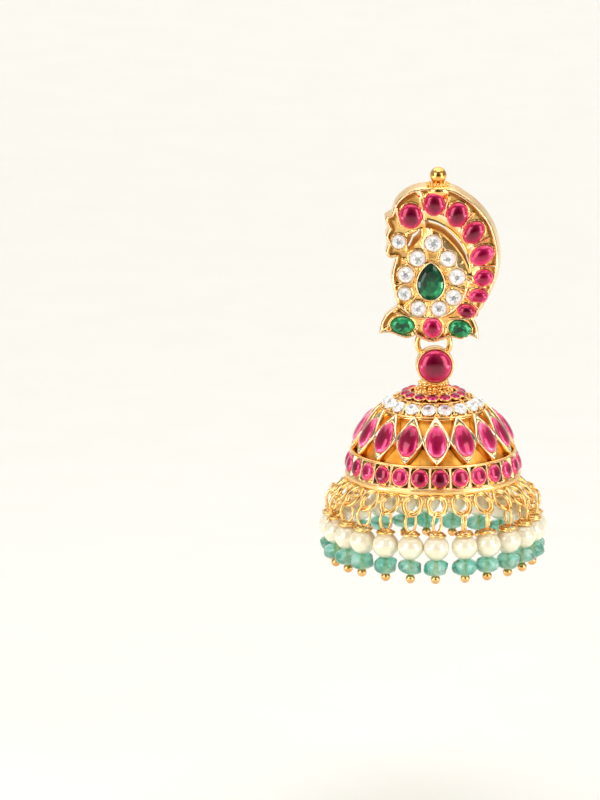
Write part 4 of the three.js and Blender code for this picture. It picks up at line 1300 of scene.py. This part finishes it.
def bead_drop(index):
    """One drop's pearl, its tumbled bead and its wires with the end ball, each a little uneven."""
    odd = random.Random(100 + index)
    eye_top = HANGER_BOTTOM_Z + HANGER_WIRE / 2 + EYE_CLEARANCE + EYE_WIRE
    cap_top = eye_top - EYE_HEIGHT + EYE_WIRE / 2
    pearl_z = cap_top - 0.42 - PEARL / 2 + 0.12
    bead_z = pearl_z - PEARL / 2 - BEAD_HEIGHT / 2 + 0.12
    ball_z = bead_z - BEAD_HEIGHT / 2 - BALL / 2 + 0.12
    eye = wire(oval_path(EYE_WIDTH - EYE_WIRE, EYE_HEIGHT - EYE_WIRE, 40), EYE_WIRE / 2, 10)
    eye = eye.turned(90 - EYE_TURN + odd.uniform(-14, 14), "Z").shifted(0, 0, eye_top - EYE_HEIGHT / 2)
    cap = wound_cap(1.32, cap_top - 0.3, 300 + index)
    pin = lathe([(0.001, ball_z), (0.22, ball_z), (0.22, cap_top), (0.001, cap_top + 0.02)], 12)
    end = ball(BALL / 2, 1.0, 20).shifted(0, 0, ball_z)
    pearl = ball(PEARL / 2, odd.uniform(0.97, 1.0), 40).shifted(0, 0, pearl_z)
    bead = pebble(BEAD * odd.uniform(0.9, 1.0), BEAD_HEIGHT * odd.uniform(0.85, 1.1), 500 + index)
    bead = bead.turned(odd.uniform(-11, 11), "Y").turned(odd.uniform(0, 360), "Z").shifted(0, 0, bead_z)
    sway = Matrix.Rotation(math.radians(odd.uniform(-2.5, 2.5)), 4, "Y")
    lift = Matrix.Translation((0, 0, eye_top - 0.4))
    swing = lift @ sway @ lift.inverted()
    turn = DROP_PHASE + 360 * index / DROP_COUNT
    wires = joined([eye, cap, pin, end.with_slot(1)])
    return [to_drop(shape.moved(swing).shifted(0, -DROP_RADIUS, 0).turned(turn, "Z"))
            for shape in (pearl, bead, wires)]


def build_drops():
    for index in range(DROP_COUNT):
        label = f"{index + 1:02d}"
        pearl, bead, wires = bead_drop(index)
        piece(f"drop_pearl_{label}", pearl, [PEARL_LACQUER], "drop", "pearl", f"drop_{label}")
        piece(f"drop_bead_{label}", bead, [BEAD_GLASS], "drop", "bead")
        piece(f"drop_wire_{label}", wires, [WIRE, BALL_GOLD], "drop", "gold")


def backdrop():
    """A pale sheet that runs from the floor up behind the earring in one sweep."""
    profile = []
    for k in range(17):
        angle = k / 16 * math.pi / 2
        profile.append((WALL_Y - BEND * (1 - math.sin(angle)), FLOOR_Z + BEND * (1 - math.cos(angle))))
    profile = [(SHEET_FRONT, FLOOR_Z), *profile, (WALL_Y, SHEET_TOP)]
    verts = [(x, y, z) for x in (-SHEET_HALF, SHEET_HALF) for y, z in profile]
    count = len(profile)
    faces = [(k, k + 1, count + k + 1, count + k) for k in range(count - 1)]
    mesh = bpy.data.meshes.new("backdrop")
    mesh.from_pydata(verts, [], faces)
    mesh.polygons.foreach_set("use_smooth", [True] * len(faces))
    material, nodes, links, shader = new_material("backdrop_paper")
    grain = noise(nodes, links, 60.0, 5.0)
    stops = [(0.3, (0.935, 0.925, 0.885)), (0.7, (0.95, 0.94, 0.905))]
    colors = ramp(nodes, links, grain.outputs["Fac"], stops)
    links.new(colors.outputs["Color"], shader.inputs["Base Color"])
    shader.inputs["Roughness"].default_value = 0.9
    mesh.materials.append(material)
    obj = bpy.data.objects.new("backdrop", mesh)
    bpy.context.scene.collection.objects.link(obj)


def soft_light(name, location, target, size, power, color=(1, 1, 1)):
    light = bpy.data.lights.new(name, "AREA")
    light.shape = "RECTANGLE"
    light.size, light.size_y = size
    light.energy = power
    light.color = color
    obj = bpy.data.objects.new(name, light)
    obj.location = location
    obj.rotation_euler = (Vector(target) - Vector(location)).to_track_quat("-Z", "Y").to_euler()
    bpy.context.scene.collection.objects.link(obj)


def studio():
    """Broad soft boxes round the earring under a pale sky, with the photograph's view."""
    world = bpy.data.worlds.new("studio")
    bpy.context.scene.world = world
    world.use_nodes = True
    nodes, links = world.node_tree.nodes, world.node_tree.links
    sky = nodes["Background"]
    coordinates = nodes.new("ShaderNodeTexCoord")
    split = nodes.new("ShaderNodeSeparateXYZ")
    links.new(coordinates.outputs["Generated"], split.inputs["Vector"])
    wide = calculated(nodes, links, "ABSOLUTE", split.outputs["X"])
    lift = calculated(nodes, links, "MULTIPLY_ADD", split.outputs["Z"], 0.45, wide)
    stops = [(0.0, (0.07, 0.045, 0.03)), (0.22, (0.10, 0.07, 0.05)), (0.5, (0.75, 0.71, 0.65)),
             (1.0, (1.0, 0.97, 0.92))]
    tones = ramp(nodes, links, lift, stops)
    links.new(tones.outputs["Color"], sky.inputs["Color"])
    sky.inputs["Strength"].default_value = 0.4
    target = (0.0, 0.0, -0.015)
    soft_light("key_left", (-0.32, -0.36, 0.13), target, (0.26, 0.42), 1.05, (1.0, 0.985, 0.96))
    soft_light("key_right", (0.37, -0.30, 0.10), target, (0.22, 0.42), 0.88, (1.0, 0.985, 0.96))
    soft_light("top", (0.02, -0.10, 0.42), target, (0.36, 0.22), 0.4)
    for name, x in (("low_left", -0.24), ("low_right", 0.24)):
        soft_light(name, (x, -0.10, -0.065), (0, 0.01, -0.04), (0.12, 0.03), 0.08)
    soft_light("sweep", (0.0, 0.8, 1.1), (0, 0.82, FLOOR_Z), (2.4, 1.6), 16.0, (1.0, 0.995, 0.98))
    camera = bpy.data.cameras.new("camera")
    camera.lens = CAMERA_LENS
    camera.clip_end = 10.0
    obj = bpy.data.objects.new("camera", camera)
    back_way = Vector(CAMERA_BACK).normalized()
    obj.location = (Vector(CAMERA_TARGET) + back_way * CAMERA_DISTANCE) * MM
    obj.rotation_euler = back_way.to_track_quat("Z", "Y").to_euler()
    bpy.context.scene.collection.objects.link(obj)
    bpy.context.scene.camera = obj
    bpy.context.scene.view_settings.view_transform = "Standard"


build_stud()
build_link()
build_dome()
build_drops()
backdrop()
studio()
